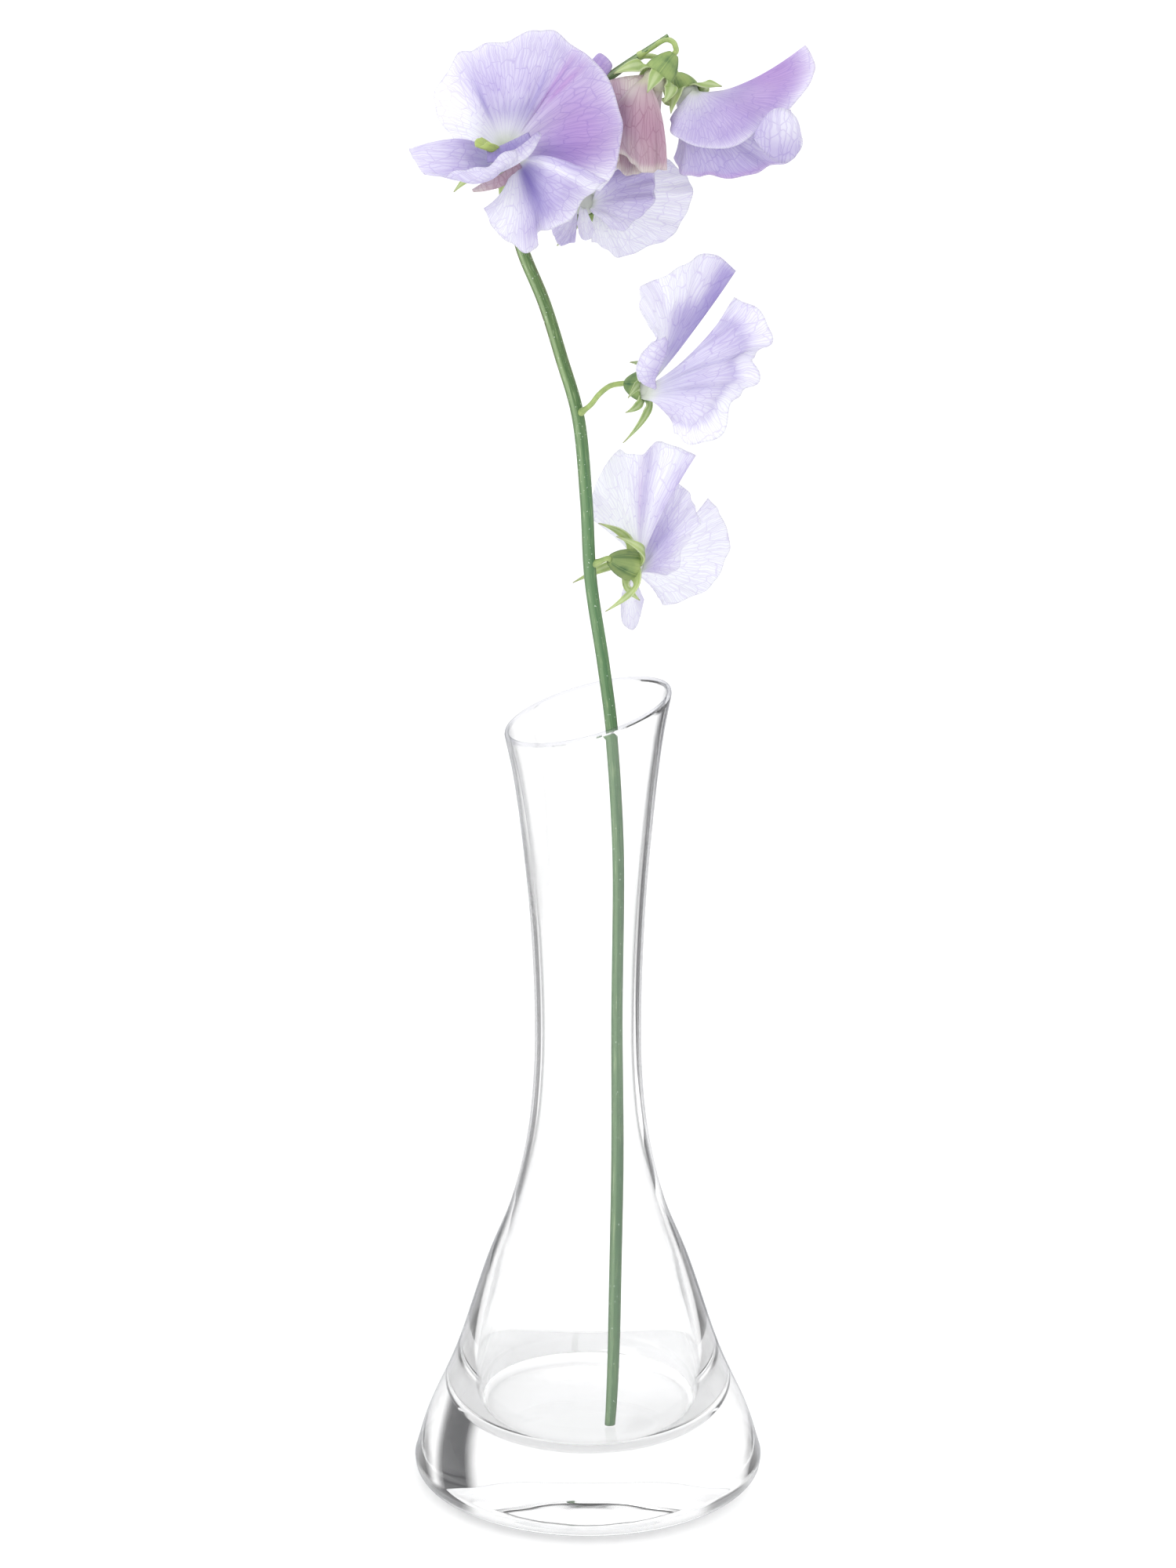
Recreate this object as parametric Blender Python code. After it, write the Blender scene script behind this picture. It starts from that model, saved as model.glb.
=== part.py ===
# A cut stem of sweet pea standing in a clear glass vase. Lengths below are millimetres; the model is
# in metres, +Z up, with the origin at the centre of the vase's flat underside.
import math

import bpy
import numpy as np

for old in list(bpy.data.objects):
    bpy.data.objects.remove(old, do_unlink=True)

mm = 0.001
gap = 0.35              # air kept between neighbouring pieces
petalThickness = 0.62
sepalThickness = 0.6
cupRadius = 3.4
pedicelRadius = 0.8
# where each petal starts above the calyx mouth: radius, angle from the way up, half angle, lift
clawArcs = {"standard": (2.8, 0, 58, 1), "wing": (2.4, 118, 38, 1.2), "keel": (1, 180, 75, 1.4)}

colours = {
    "glass": ((0.90, 0.94, 0.95), 0.03),
    "stem": ((0.16, 0.32, 0.12), 0.55),
    "calyx": ((0.30, 0.45, 0.12), 0.5),
    "standard": ((0.72, 0.66, 0.88), 0.6),
    "wing_right": ((0.60, 0.56, 0.86), 0.6),
    "wing_left": ((0.66, 0.62, 0.88), 0.6),
    "keel": ((0.78, 0.80, 0.80), 0.6),
}

# radius, height: outside of the vase from its foot to the rim, then the bore from the rim to the floor
vaseOutside = [(41.5, 4.5), (38.3, 15), (31.4, 31.5), (24.2, 54), (18.1, 70), (14.3, 87), (12.7, 104),
               (12.6, 122), (13.5, 143), (15.3, 164), (17.2, 180), (19.3, 191.5)]
vaseBore = [(17.5, 191.5), (15.5, 180), (13.6, 164), (11.8, 143), (10.9, 122), (11, 104), (12.6, 87),
            (16.5, 70), (21.9, 54), (26.2, 36), (28.2, 24)]
vaseFloor = [(27.4, 18), (24.5, 15.4), (15, 13.6), (6, 13.1)]
rimSlope = 0.272        # the mouth is cut at a slant, higher on the right
slantFrom = 110         # the slant fades out below this height

stemPath = [(5.3, -13.3, 14.4), (6.1, -9.5, 39.6), (6.8, -2, 80.7), (7, 4.6, 113.9), (7.3, 6.5, 152.5), (5.8,
            7.5, 181.2), (3.6, 8, 200.3), (0.6, 9, 220.9), (-0.4, 8.5, 239.9), (-2.2, 7.5, 259.8), (-6.2, 7,
            274.8), (-10.1, 7, 287.7), (-14.9, 7.5, 299.8), (-16.8, 9, 309.6), (-15.8, 11, 319.5), (-9, 10,
            330), (3.3, 7, 338.8), (11.2, 5, 344.9), (17.8, 3.5, 350)]
stemRadii = [(0, 1.3), (0.06, 1.5), (0.7, 1.5), (0.85, 1.3), (0.93, 0.9), (1, 0.4)]

# Each bloom: mouth of its calyx, and from there the calyx base, the way up, the pedicel, the sepal tips
# and the petals. A petal is a fan of veins, each given by its middle point and its end on the margin.
# A bloom turned so far that its petals would meet at the mouth has places of its own for their starts.
blooms = {
    "front": dict(
        mouth=(-18, -5, 324), base=(1.5, 7, -5.5), up=(2, 6, 30),
        pedicel=[(1.5, 8.5, -6), (2, 11, -6), (2.5, 13, -5.5)],
        sepals=[(-12, 1, -8), (-1.5, 4, -12), (9, 8, -8), (7.5, 8, 4.5), (-6, 8, 4.5)],
        claws={"wing_left": (2.4, 140, 40, 1.3), "wing_right": (2.8, 116, 32, 1.2),
               "keel": (0.8, 180, 66, 1.4)},
        petals=dict(
          standard=[
            (-6.5, -3, 4, -12, -2, 4.5), (-7.5, -4, 8.5, -15, 0, 10), (-7.5, -4, 12, -15, 3, 14.5),
            (-6, -3, 15, -11.5, 7, 21.5), (-3.5, -2, 15.5, -7, 7, 22.5), (0, -3, 16.5, -1, 8, 24),
            (3.5, -4, 17.5, 6, 9, 27), (7, -3, 17, 10, 8, 26), (9, -2, 15, 15.5, 6, 23),
            (11, -4, 14, 20.5, 3, 20.5), (13, -3, 9, 24.5, -1, 11.5), (13.5, -4, 5, 25.5, -3, 6.5),
            (12, -4.5, 1.5, 24, -5, -1.5), (9, -5, -1, 20.5, -7, -6),
          ],
          wing_right=[
            (-0.5, -8, -4.5, -5, -12, -8.5), (0.5, -10, -6, -3, -12, -13), (2.5, -11.5, -8, 1.5, -10, -18),
            (4.5, -12, -7.5, 6, -10, -18), (6, -11, -6, 7.5, -11, -14.5), (7.5, -12, -4.5, 12.5, -12, -11.5),
            (9.5, -14, -1, 18, -13, -6), (10.5, -13.5, 3.5, 22, -12, -2),
          ],
          wing_left=[
            (-8.5, -7.5, 6, -20.5, -10, 5.5), (-9.5, -9, 4.5, -21.5, -12, 4.5), (-9.5, -12.5, 2, -20.5, -15, 3.5),
            (-8, -16, 0, -17.5, -18.5, 1), (-6.5, -19, -0.5, -14, -21, 1), (-4, -20.5, 0, -9.5, -22, 2.5),
            (-1, -19.5, 2, -4, -20, 4), (2, -16, 3, 2, -16, 5.5),
          ],
          keel=[
            (-2.5, -8, 4.5, -5.5, -11, 7.5), (-3, -10, 4.5, -7, -12.5, 7), (-2.5, -12, 4, -6.5, -14, 6),
            (-1.5, -12, 5.5, -4, -14, 7),
          ],
        ),
    ),
    "behind": dict(
        mouth=(-1, 8, 310.5), base=(-1.5, 7, 0.5), up=(20, 0, 20),
        pedicel=[(-1.5, 7.5, 0.5), (-3.5, 10, 3), (-6, 9, 9.5), (-7.5, 6.5, 14.5)],
        sepals=[(-6, 0, -10), (5.5, 6, -8.5), (5.5, 7, 2.5), (-2, 4, 5.5), (-6.5, 4, 0)],
        claws={"standard": (2.9, 0, 60, 1.2), "wing_right": (1.5, 50, 42, 1.7),
               "wing_left": (2.4, 122, 32, 1.2), "keel": (0.9, 180, 60, 1.5)},
        petals=dict(
          standard=[
            (2, -1, -4.5, 2, 0.5, -9), (4, -1.5, -5.5, 5.5, 0, -11.5), (6, -1, -6, 9.5, 1, -12.5),
            (9, 0.5, -4.5, 16.5, 3, -10.5), (10.5, 1.5, -3.5, 20.5, 4, -8), (12, 2.5, -1, 23.5, 5, -3.5),
            (12.5, 2.5, 2, 24.5, 7, 1.5), (11.5, 2, 4.5, 22.5, 8, 5.5), (9, 1, 6.5, 16, 9, 8),
            (4.5, 0.5, 6, 9, 9, 10),
          ],
          wing_right=[
            (4, -3.5, 5.5, 8, -1, 8.5), (6, -4, 5.5, 12.5, -2, 8.5), (8, -4.5, 5, 16, -3, 7.5),
            (8, -5.5, 3, 16, -4.5, 4), (7.5, -6.5, 1.5, 15, -6, 0.5), (6, -6.5, -0.5, 11.5, -6.5, -3),
            (4, -6.5, -1, 7.5, -6, -4.5), (2, -5.5, -1, 4.5, -5, -4),
          ],
          wing_left=[
            (-3, -3, 1, -5, -4, 0.5), (-4, -4, -0.5, -7, -5, -2.5), (-4, -4.5, -2.5, -7, -5, -5.5),
            (-3, -4, -4, -5.5, -4.5, -8.5), (-1.5, -4, -4, -2, -5, -8),
          ],
          keel=[
            (-1, -4.5, -1, -1.5, -7, -3), (-0.5, -6, -2, -0.5, -9, -6), (0.5, -6.5, -2, 1.5, -9.5, -6),
            (1, -6, -1, 2.5, -8.5, -4),
          ],
        ),
    ),
    "bud": dict(
        mouth=(15, 1.5, 340), base=(2.5, 1.5, 4), up=(-30, -4, -6),
        pedicel=[(3, 1.5, 4), (4.5, 2, 5), (4.5, 2.5, 7), (3.5, 2.5, 8), (2, 2.5, 8)],
        sepals=[(-10, -0.5, 2), (-2.5, -6, -2), (1.5, -4, -4), (2, 3.5, -5), (-4.5, 4.5, -2)],
        claws={"keel": (2.4, 180, 45, 0.9)},
        petals=dict(
          standard=[
            (1.5, -5, -7, 2.5, -4.5, -19), (-1, -6, -7, -1, -5.5, -19.5), (-5, -6, -6.5, -5, -5.5, -18),
            (-8.5, -3, -6, -8, -2.5, -15), (-9, 1.5, -8, -8.5, -0.5, -18.5), (-5, 5, -9, -6, -1, -21.5),
            (-1, 5, -9.5, -2, 0.5, -20.5), (1, 4, -9, 2, 1.5, -20),
          ],
          keel=[
            (-5.5, -1.5, -7, -6, -1.5, -17), (-2.5, -3, -7.5, -2.5, -3, -18.5), (1, -0.5, -8.5, 0.5, -1.5, -18),
            (-2.5, 2.5, -9, -2.5, 0, -19), (-5.5, 1, -7.5, -6, -0.5, -17),
          ],
        ),
    ),
    "top": dict(
        mouth=(22, 9, 335.5), base=(-2, 3, 3.5), up=(30, 0, 12),
        pedicel=[(-2, 3.5, 3.5), (-3, 5, 5), (-5, 4, 6.5), (-7.5, 2, 8), (-9.5, -1, 9)],
        sepals=[(8, -2, 2), (-3.5, -11, -2), (-2.5, 11, 3.5), (5, 7, 0.5), (-5.5, 1, -1.5)],
        claws={"standard": (2.8, 0, 58, 1.25), "keel": (0.85, 180, 75, 1.4)},
        petals=dict(
          standard=[
            (-2, -7.5, -1.5, -4, -8.5, -4), (-1, -9.5, -2.5, -2.5, -11, -6.5), (1.5, -10, -3, 0.5, -13, -8.5),
            (4, -11, -3, 6.5, -14, -9.5), (6.5, -11, -1.5, 12, -14, -8), (8.5, -10, 0, 17, -13, -4.5),
            (12, -7, 0.5, 23, -10, -1), (14, -4, 1.5, 27.5, -7, 3.5), (14.5, -1, 2, 29, -3, 6.5),
            (14, 1, 2.5, 26.5, 1, 11), (14, 4, 0.5, 28.5, 6, 3.5), (11.5, 7.5, -2, 22, 11, -5),
            (7, 10, -6, 13.5, 12, -12), (2, 9, -7.5, 2.5, 11, -13), (-0.5, 6, -5, -1.5, 8, -8),
          ],
          wing_right=[
            (-1.5, -3, -7.5, -3, -3.5, -14), (-0.5, -5, -9, -1.5, -5, -16.5), (0.5, -6, -9.5, 1.5, -6, -17.5),
            (3, -7, -9.5, 5.5, -6, -18), (6.5, -7.5, -9, 13, -7, -17), (8.5, -7.5, -7.5, 18.5, -7, -15.5),
            (11, -7, -6.5, 23.5, -6, -14), (12, -5.5, -5, 26, -4, -9.5), (11.5, -4, -3.5, 23.5, -3, -3),
          ],
          wing_left=[
            (-1.5, 4, -9.5, -1.5, 4, -15), (1.5, 7, -12.5, 2, 6, -19.5), (5.5, 8, -12.5, 10, 7, -19.5),
            (9, 8, -11, 18.5, 8, -18), (11, 7, -9, 23.5, 7, -14.5), (11.5, 4.5, -6, 23.5, 5, -7),
          ],
          keel=[
            (5.5, -2, -4, 11.5, -1.5, -5.5), (5, -2.5, -5.5, 11.5, -2, -8.5), (4, -0.5, -7.5, 8, 0, -11.5),
            (5.5, 1.5, -6.5, 11.5, 2, -9.5), (6, 1.5, -4.5, 11.5, 1.5, -6.5),
          ],
        ),
    ),
    "middle": dict(
        mouth=(13, 1, 269.5), base=(-4.5, 2, 0), up=(-2, 6, 30),
        pedicel=[(-4.5, 2, 0), (-8, 2, -0.5), (-10.5, 2, -2.5), (-12.5, 3.5, -5.5), (-13.5, 5, -8.5)],
        sepals=[(-5, -3, -12.5), (-4.5, -6, -4.5), (-4, -8, -0.5), (-3.5, -3, 6.5), (-2, 9, 1.5)],
        claws={"standard": (2.9, 0, 60, 1.1), "wing_right": (2.4, 122, 40, 1.3)},
        petals=dict(
          standard=[
            (1, -5.5, 2.5, -1.5, -6, 2.5), (0.5, -6.5, 4.5, -2, -8, 7.5), (2, -5.5, 7, 0.5, -8, 11.5),
            (3, -5.5, 9, 2, -9.5, 15), (3.5, -6, 11, -1, -11, 21), (3.5, -6.5, 14, -1.5, -11, 26),
            (5, -4.5, 15, 2.5, -8, 27), (6.5, -1, 15.5, 8.5, -3, 29.5), (8.5, 2, 14.5, 15.5, 3, 30),
            (11, 6, 11.5, 20, 9, 25),
          ],
          wing_right=[
            (10.5, -4, 9, 20, -1, 21), (12.5, -6, 10, 24.5, -2, 18.5), (14, -7.5, 8.5, 26.5, -3, 13.5),
            (14, -8.5, 7, 25.5, -4, 10.5), (13, -9, 6, 23, -5, 8.5), (13, -9.5, 4, 23, -5.5, 5),
            (12.5, -9.5, 2.5, 21, -6, 1.5), (11.5, -9.5, 0.5, 19, -6.5, -1.5), (9.5, -9.5, -1.5, 15, -7, -7.5),
            (7.5, -8.5, -3, 10.5, -7, -10), (3.5, -6, -3.5, 6.5, -6.5, -9),
          ],
          wing_left=[
            (10, 4, 4.5, 18, 7, 13.5), (12, 6, 4.5, 22, 8, 12), (13.5, 7, 2.5, 24, 8, 7.5),
            (13, 7, -0.5, 21, 7, 0.5), (11, 6.5, -3, 18, 6, -7), (8.5, 5.5, -5, 13.5, 5, -11),
            (4.5, 3.5, -5, 7.5, 3, -10.5),
          ],
          keel=[
            (5.5, -1, 1.5, 10, -0.5, 3), (6.5, -1.5, 0.5, 11.5, -1.5, 1.5), (6, 0, -1, 10.5, 0, -2),
            (6.5, 1.5, 0, 11.5, 1.5, 0.5), (6, 1, 1.5, 10, 1, 2.5),
          ],
        ),
    ),
    "lower": dict(
        mouth=(10, 12, 223.5), base=(-5, -3.5, 2.5), up=(-6, -2, 30),
        pedicel=[(-5, -3.5, 2.5), (-7.5, -3.5, 1)],
        sepals=[(-7.5, -3, 11), (-3.5, -10, 10), (-13.5, 2.5, -5), (-6, -7, -9), (2, 0, -8.5)],
        claws={"standard": (3, 7, 38, 1.2), "wing_right": (1.25, 92, 80, 2.35),
               "wing_left": (2.3, 95, 26, 1.2), "keel": (1, 180, 80, 1.4)},
        petals=dict(
          standard=[
            (-3, 8, 3.5, -9, 10, 7.5), (-3, 8.5, 5.5, -9, 9.5, 12.5), (-2.5, 7.5, 8, -8.5, 8, 16.5),
            (-1.5, 5.5, 11, -5.5, 4.5, 23.5), (0, 4, 13.5, -2.5, 2, 27), (2, 1.5, 14, 2.5, 0.5, 26.5),
            (3.5, 0, 15.5, 6, -0.5, 30), (5.5, -3, 16, 10.5, -4, 29.5), (8, -5, 16, 15, -7, 28.5),
          ],
          wing_right=[
            (4.5, 2.5, 9, 7, 3.5, 19.5), (6, 2, 9, 10, 4, 19), (7.5, 1, 8, 13, 4, 16.5),
            (8.5, -1, 7, 15, 4, 13), (8.5, -1, 5, 15, 3.5, 9), (7.5, -1, 2, 13, 2.5, 4),
            (6, -1, 0, 10, 1.5, -1), (4.5, -0.5, -1.5, 7.5, 1, -3),
          ],
          wing_left=[
            (9.5, 7.5, 5, 17.5, 14, 12), (10, 9.5, 3.5, 20.5, 15, 8.5), (11, 10.5, 1, 22.5, 16, 3.5),
            (11, 10.5, -1.5, 22.5, 16, -2.5), (9.5, 10, -4, 20, 15, -8.5), (7, 9.5, -6, 14.5, 13, -11.5),
            (4.5, 8, -7, 8.5, 11, -13.5), (3.5, 6.5, -6, 6, 9, -10.5),
          ],
          keel=[
            (-1.5, 3, -5.5, -2.5, 3.5, -10), (-1, 3, -8, -2, 3.5, -15), (0, 4, -8.5, 0.5, 4, -17),
            (0.5, 4.5, -7, 2, 5, -14.5), (1.5, 4, -5, 3, 5, -10),
          ],
        ),
    ),
}


def smoothCurve(points, count):
    """Points evenly spaced in parameter on a Catmull-Rom curve through the given ones."""
    points = np.asarray(points, float)
    padded = np.vstack([2 * points[0] - points[1], points, 2 * points[-1] - points[-2]])
    at = np.linspace(0, len(points) - 1, count)
    first = np.minimum(at.astype(int), len(points) - 2)
    t = (at - first)[:, None]
    a, b, c, d = (padded[first + k] for k in range(4))
    cubic = (3 * b - a - 3 * c + d) * t ** 3
    return 0.5 * (2 * b + (c - a) * t + (2 * a - 5 * b + 4 * c - d) * t ** 2 + cubic)


def unit(vector):
    vector = np.asarray(vector, float)
    return vector / np.linalg.norm(vector)


def gridFaces(rows, columns, closed=False):
    """Triangles of a grid of points stored row by row."""
    faces = []
    for i in range(rows - 1):
        for j in range(columns if closed else columns - 1):
            k = (j + 1) % columns
            a, b = i * columns + j, i * columns + k
            faces += [(a, b, b + columns), (a, b + columns, a + columns)]
    return faces


def thicken(points, faces, thickness):
    """A closed solid of even thickness about a triangulated sheet, split alike on both faces."""
    points, faces = np.asarray(points, float), np.asarray(faces)
    across = np.cross(points[faces[:, 1]] - points[faces[:, 0]], points[faces[:, 2]] - points[faces[:, 0]])
    across /= np.linalg.norm(across, axis=1, keepdims=True)
    normals = np.zeros_like(points)
    for corner in range(3):
        np.add.at(normals, faces[:, corner], across)
    normals *= thickness / 2 / np.linalg.norm(normals, axis=1, keepdims=True)
    count = len(points)
    edges = {(a, b) for f in faces.tolist() for a, b in zip(f, f[1:] + f[:1])}
    rim = sorted(e for e in edges if e[::-1] not in edges)
    walls = [t for a, b in rim for t in ((b, a, a + count), (b, a + count, b + count))]
    solid = faces.tolist() + (faces[:, ::-1] + count).tolist() + walls
    return np.vstack([points + normals, points - normals]), solid


def addObject(name, points, faces, finish):
    """A named object with its own material, millimetres turned into metres."""
    mesh = bpy.data.meshes.new(name)
    mesh.from_pydata((np.asarray(points) * mm).tolist(), [], faces)
    mesh.polygons.foreach_set("use_smooth", [True] * len(mesh.polygons))
    mesh.validate()
    shown = bpy.data.objects.new(name, mesh)
    bpy.context.scene.collection.objects.link(shown)
    material = bpy.data.materials.new(name)
    material.use_nodes = True
    surface = material.node_tree.nodes["Principled BSDF"]
    colour, roughness = colours[finish]
    surface.inputs["Base Color"].default_value = (*colour, 1)
    surface.inputs["Roughness"].default_value = roughness
    surface.inputs["Metallic"].default_value = 0
    if finish == "glass":
        surface.inputs["Transmission Weight"].default_value = 1
        surface.inputs["IOR"].default_value = 1.5
    mesh.materials.append(material)
    return shown


def tubeRings(path, radii, angle, across):
    """Rings of points about a path, carried along it without twist from a first direction across."""
    path = np.asarray(path, float)
    along = np.gradient(path, axis=0)
    along /= np.linalg.norm(along, axis=1, keepdims=True)
    carried = []
    for direction in along:
        across = unit(across - direction * (direction @ across))
        carried.append(across)
    carried = np.array(carried)
    other = np.cross(along, carried)
    ring = np.cos(angle)[None, :, None] * carried[:, None] + np.sin(angle)[None, :, None] * other[:, None]
    return (path[:, None] + ring * np.asarray(radii)[:, None, None]).reshape(-1, 3)


def tube(path, radii, sides):
    """A round rod along a path, with flat ends."""
    angle = np.arange(sides) * 2 * math.pi / sides
    points = tubeRings(path, radii, angle, np.array((0, 0.3, 1)))
    faces = gridFaces(len(path), sides, True)
    first, last = len(points), len(points) + 1
    points = np.vstack([points, path[:1], path[-1:]])
    start = (len(path) - 1) * sides
    for j in range(sides):
        k = (j + 1) % sides
        faces += [(k, j, first), (start + j, start + k, last)]
    return points, faces


def buildVase():
    """The glass, turned about its axis and cut at a slant across the mouth."""
    outside, bore = smoothCurve(vaseOutside, 18), smoothCurve(vaseBore, 14)
    lip = [(19.0, 192.3), (18.4, 192.6), (17.8, 192.3)]
    foot = [(20, 0), (37.6, 0), (40.4, 1.3)]
    profile = np.vstack([foot, outside, lip, bore, vaseFloor])
    sides = 32
    angle = np.arange(sides) * 2 * math.pi / sides
    radius, height = profile[:, :1], profile[:, 1:]
    rise = np.clip((height - slantFrom) / (191.5 - slantFrom), 0, None)
    x, y = radius * np.cos(angle), radius * np.sin(angle)
    z = height + rise * rimSlope * 18.4 * np.cos(angle)
    points = np.stack([x, y, z], -1).reshape(-1, 3)
    faces = gridFaces(len(profile), sides, True)
    under, floor = len(points), len(points) + 1
    points = np.vstack([points, [(0, 0, 0), (0, 0, 13)]])
    start = (len(profile) - 1) * sides
    for j in range(sides):
        k = (j + 1) % sides
        faces += [(k, j, under), (start + j, start + k, floor)]
    addObject("vase", points, faces, "glass")


def stemLine(count=46):
    return smoothCurve(stemPath, count)


def buildStem():
    """The long flower stalk, cut off at a slant at its lower end."""
    path = stemLine()
    share = np.linspace(0, 1, len(path))
    radii = np.interp(share, *zip(*stemRadii))
    points, faces = tube(path, radii, 10)
    addObject("stem", points, faces, "stem")


def bloomFrame(bloom):
    """Axis of the calyx, the way up across it, and the way to the side."""
    axis = unit(-np.array(bloom["base"], float))
    up = np.array(bloom["up"], float)
    up = unit(up - axis * (up @ axis))
    return axis, up, np.cross(up, axis)


def petalSheet(kind, veins, bloom, rows, perVein):
    """The middle sheet of one petal: a fan of curved veins from a short line just above the calyx."""
    axis, up, side = bloomFrame(bloom)
    veins = np.asarray(veins, float).reshape(-1, 6)
    columns = (len(veins) - 1) * perVein + 1
    middle, end = np.split(smoothCurve(veins, columns), 2, axis=1)
    radius, centre, half, lift = bloom.get("claws", {}).get(kind) or clawArcs[kind.split("_")[0]]
    if kind.startswith("wing"):
        right, left = (np.reshape(bloom["petals"]["wing_" + k], (-1, 6))[:, 3:] for k in ("right", "left"))
        toSide = (right.mean(axis=0) - left.mean(axis=0)) @ side
        centre *= math.copysign(1, toSide) * (1 if kind == "wing_right" else -1)
    turn = np.radians(centre)
    spread = np.linspace(-1, 1, columns)[:, None]
    across = end[-1] - end[0]
    if not kind.startswith("wing"):
        order = math.copysign(1, across @ (math.cos(turn) * side - math.sin(turn) * up))
        angle = turn + order * np.radians(half) * spread
        start = radius * (np.cos(angle) * up + np.sin(angle) * side)
    else:
        across = unit(across - axis * (across @ axis))
        start = radius * (math.cos(turn) * up + math.sin(turn) * side)
        ahead = middle.mean(axis=0) - start - lift * axis
        ahead = unit(ahead - across * (ahead @ across))
        start = start + radius * math.sin(np.radians(half)) * (spread * across - 0.2 * spread ** 2 * ahead)
    start += lift * axis
    control = 2 * middle - (start + end) / 2
    along = np.linspace(0, 1, rows)[:, None, None]
    sheet = (1 - along) ** 2 * start + 2 * along * (1 - along) * control + along ** 2 * end
    return sheet.reshape(-1, 3) + bloom["mouth"], gridFaces(rows, columns)


def calyxSheet(bloom):
    """The middle sheet of a calyx: a bell whose rim runs out into five pointed sepals."""
    axis, up, side = bloomFrame(bloom)
    mouth, base = np.array(bloom["mouth"], float), np.array(bloom["base"], float)
    length = np.linalg.norm(base)
    tips = np.array(bloom["sepals"], float)
    turn = np.arctan2(tips @ up, tips @ side)
    order = np.argsort(turn)
    tips, turn = tips[order], turn[order]
    sector = 2 * math.pi / 5
    offset = np.angle(np.mean(np.exp(1j * (turn - sector * np.arange(5)))))
    angle = offset + (np.arange(15) - 1.5) * sector / 3
    circle = np.cos(angle)[:, None] * side + np.sin(angle)[:, None] * up
    points = [base[None]]
    faces = [(0, 1 + (j + 1) % 15, 1 + j) for j in range(15)]
    for along in (0.06, 0.3, 0.62, 1):
        radius = cupRadius * (0.25 + 0.75 * math.sin(along * math.pi / 2) ** 0.8)
        points.append(base - base * along + circle * radius)
    faces += [tuple(k + 1 for k in f) for f in gridFaces(4, 15, True)]
    rim = 1 + 3 * 15
    for i, tip in enumerate(tips):
        middle = offset + i * sector
        out = math.cos(middle) * side + math.sin(middle) * up
        tangent = math.cos(middle) * up - math.sin(middle) * side
        root = out * cupRadius
        reach = np.linalg.norm(tip - root)
        control = root + (0.04 * axis + 0.34 * out) * reach + 0.25 * min(0, tip @ axis) * axis
        previous = [rim + (3 * i + k) % 15 for k in range(4)]
        for u in (0.28, 0.55, 0.8, 1):
            centre = (1 - u) ** 2 * root + 2 * u * (1 - u) * control + u ** 2 * tip
            width = 1.9 * (1 - u) ** 0.8 + 0.2
            first = sum(len(p) for p in points)
            points.append(centre + np.linspace(-width, width, 4)[:, None] * tangent)
            current = [first + k for k in range(4)]
            for k in range(3):
                a, b, c, d = previous[k], previous[k + 1], current[k + 1], current[k]
                faces += [(a, b, c), (a, c, d)]
            previous = current
    return np.concatenate(points) + mouth, faces, angle


def pedicelPath(bloom):
    """The little stalk from the foot of the calyx to just off the stem, which it meets square."""
    foot = [np.multiply(bloom["base"], stretch) for stretch in (1.1, 1.3)]
    knots = np.array(foot + bloom["pedicel"][1:]) + bloom["mouth"]
    line = stemLine(400)
    place = np.argmin(np.linalg.norm(line - knots[-1], axis=1))
    seat, share = line[place], place / 399
    reach = np.interp(share, *zip(*stemRadii)) + gap + 0.25
    kept = [k for k in knots[:-1] if np.linalg.norm(k - seat) > reach + 1.8]
    away = kept[-1] - seat
    tangent = unit(line[min(place + 1, 399)] - line[place - 1])
    away = unit(away - tangent * (away @ tangent))
    path = smoothCurve(np.vstack([kept, seat + away * (reach + 1), seat + away * reach]), 90)
    walked = np.append(0, np.cumsum(np.linalg.norm(np.diff(path, axis=0), axis=1)))
    at = np.linspace(0, walked[-1], max(3, round(walked[-1] / 1.1)))
    path = np.stack([np.interp(at, walked, path[:, k]) for k in range(3)], -1)
    return path, np.full(len(at), pedicelRadius)


def calyxSolid(bloom):
    """The calyx given its thickness, its outer skin drawn out at the foot into the pedicel."""
    sheet, split, angle = calyxSheet(bloom)
    points, faces = thicken(sheet, split, sepalThickness)
    axis, up, side = bloomFrame(bloom)
    path, radii = pedicelPath(bloom)
    rings = tubeRings(path, radii, -angle, side)
    first = len(points)
    points = np.vstack([points, rings])
    points[0] = path[-1]
    faces = [f for f in faces if 0 not in f]
    previous = [1 + j for j in range(15)]
    for i in range(len(path)):
        current = [first + i * 15 + j for j in range(15)]
        for j in range(15):
            k = (j + 1) % 15
            a, b, c, d = previous[j], previous[k], current[k], current[j]
            faces += [(a, c, b), (a, d, c)]
        previous = current
    faces += [(previous[(j + 1) % 15], previous[j], 0) for j in range(15)]
    return points, faces


def buildBloom(name, bloom):
    addObject(name + "_calyx", *calyxSolid(bloom), "calyx")
    for kind, veins in bloom["petals"].items():
        rows = {"standard": 7, "keel": 5}.get(kind, 6)
        sheet, split = petalSheet(kind, veins, bloom, rows, 2)
        points, faces = thicken(sheet, split, petalThickness)
        addObject(name + "_" + kind, points, faces, kind)


buildVase()
buildStem()
for bloomName, bloomSizes in blooms.items():
    buildBloom(bloomName, bloomSizes)
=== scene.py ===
# The looks of a cut stem of sweet pea in a clear glass vase. Lengths in the tables are millimetres from
# the centre of the vase's flat underside; everything made from them is in metres.
import math

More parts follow.
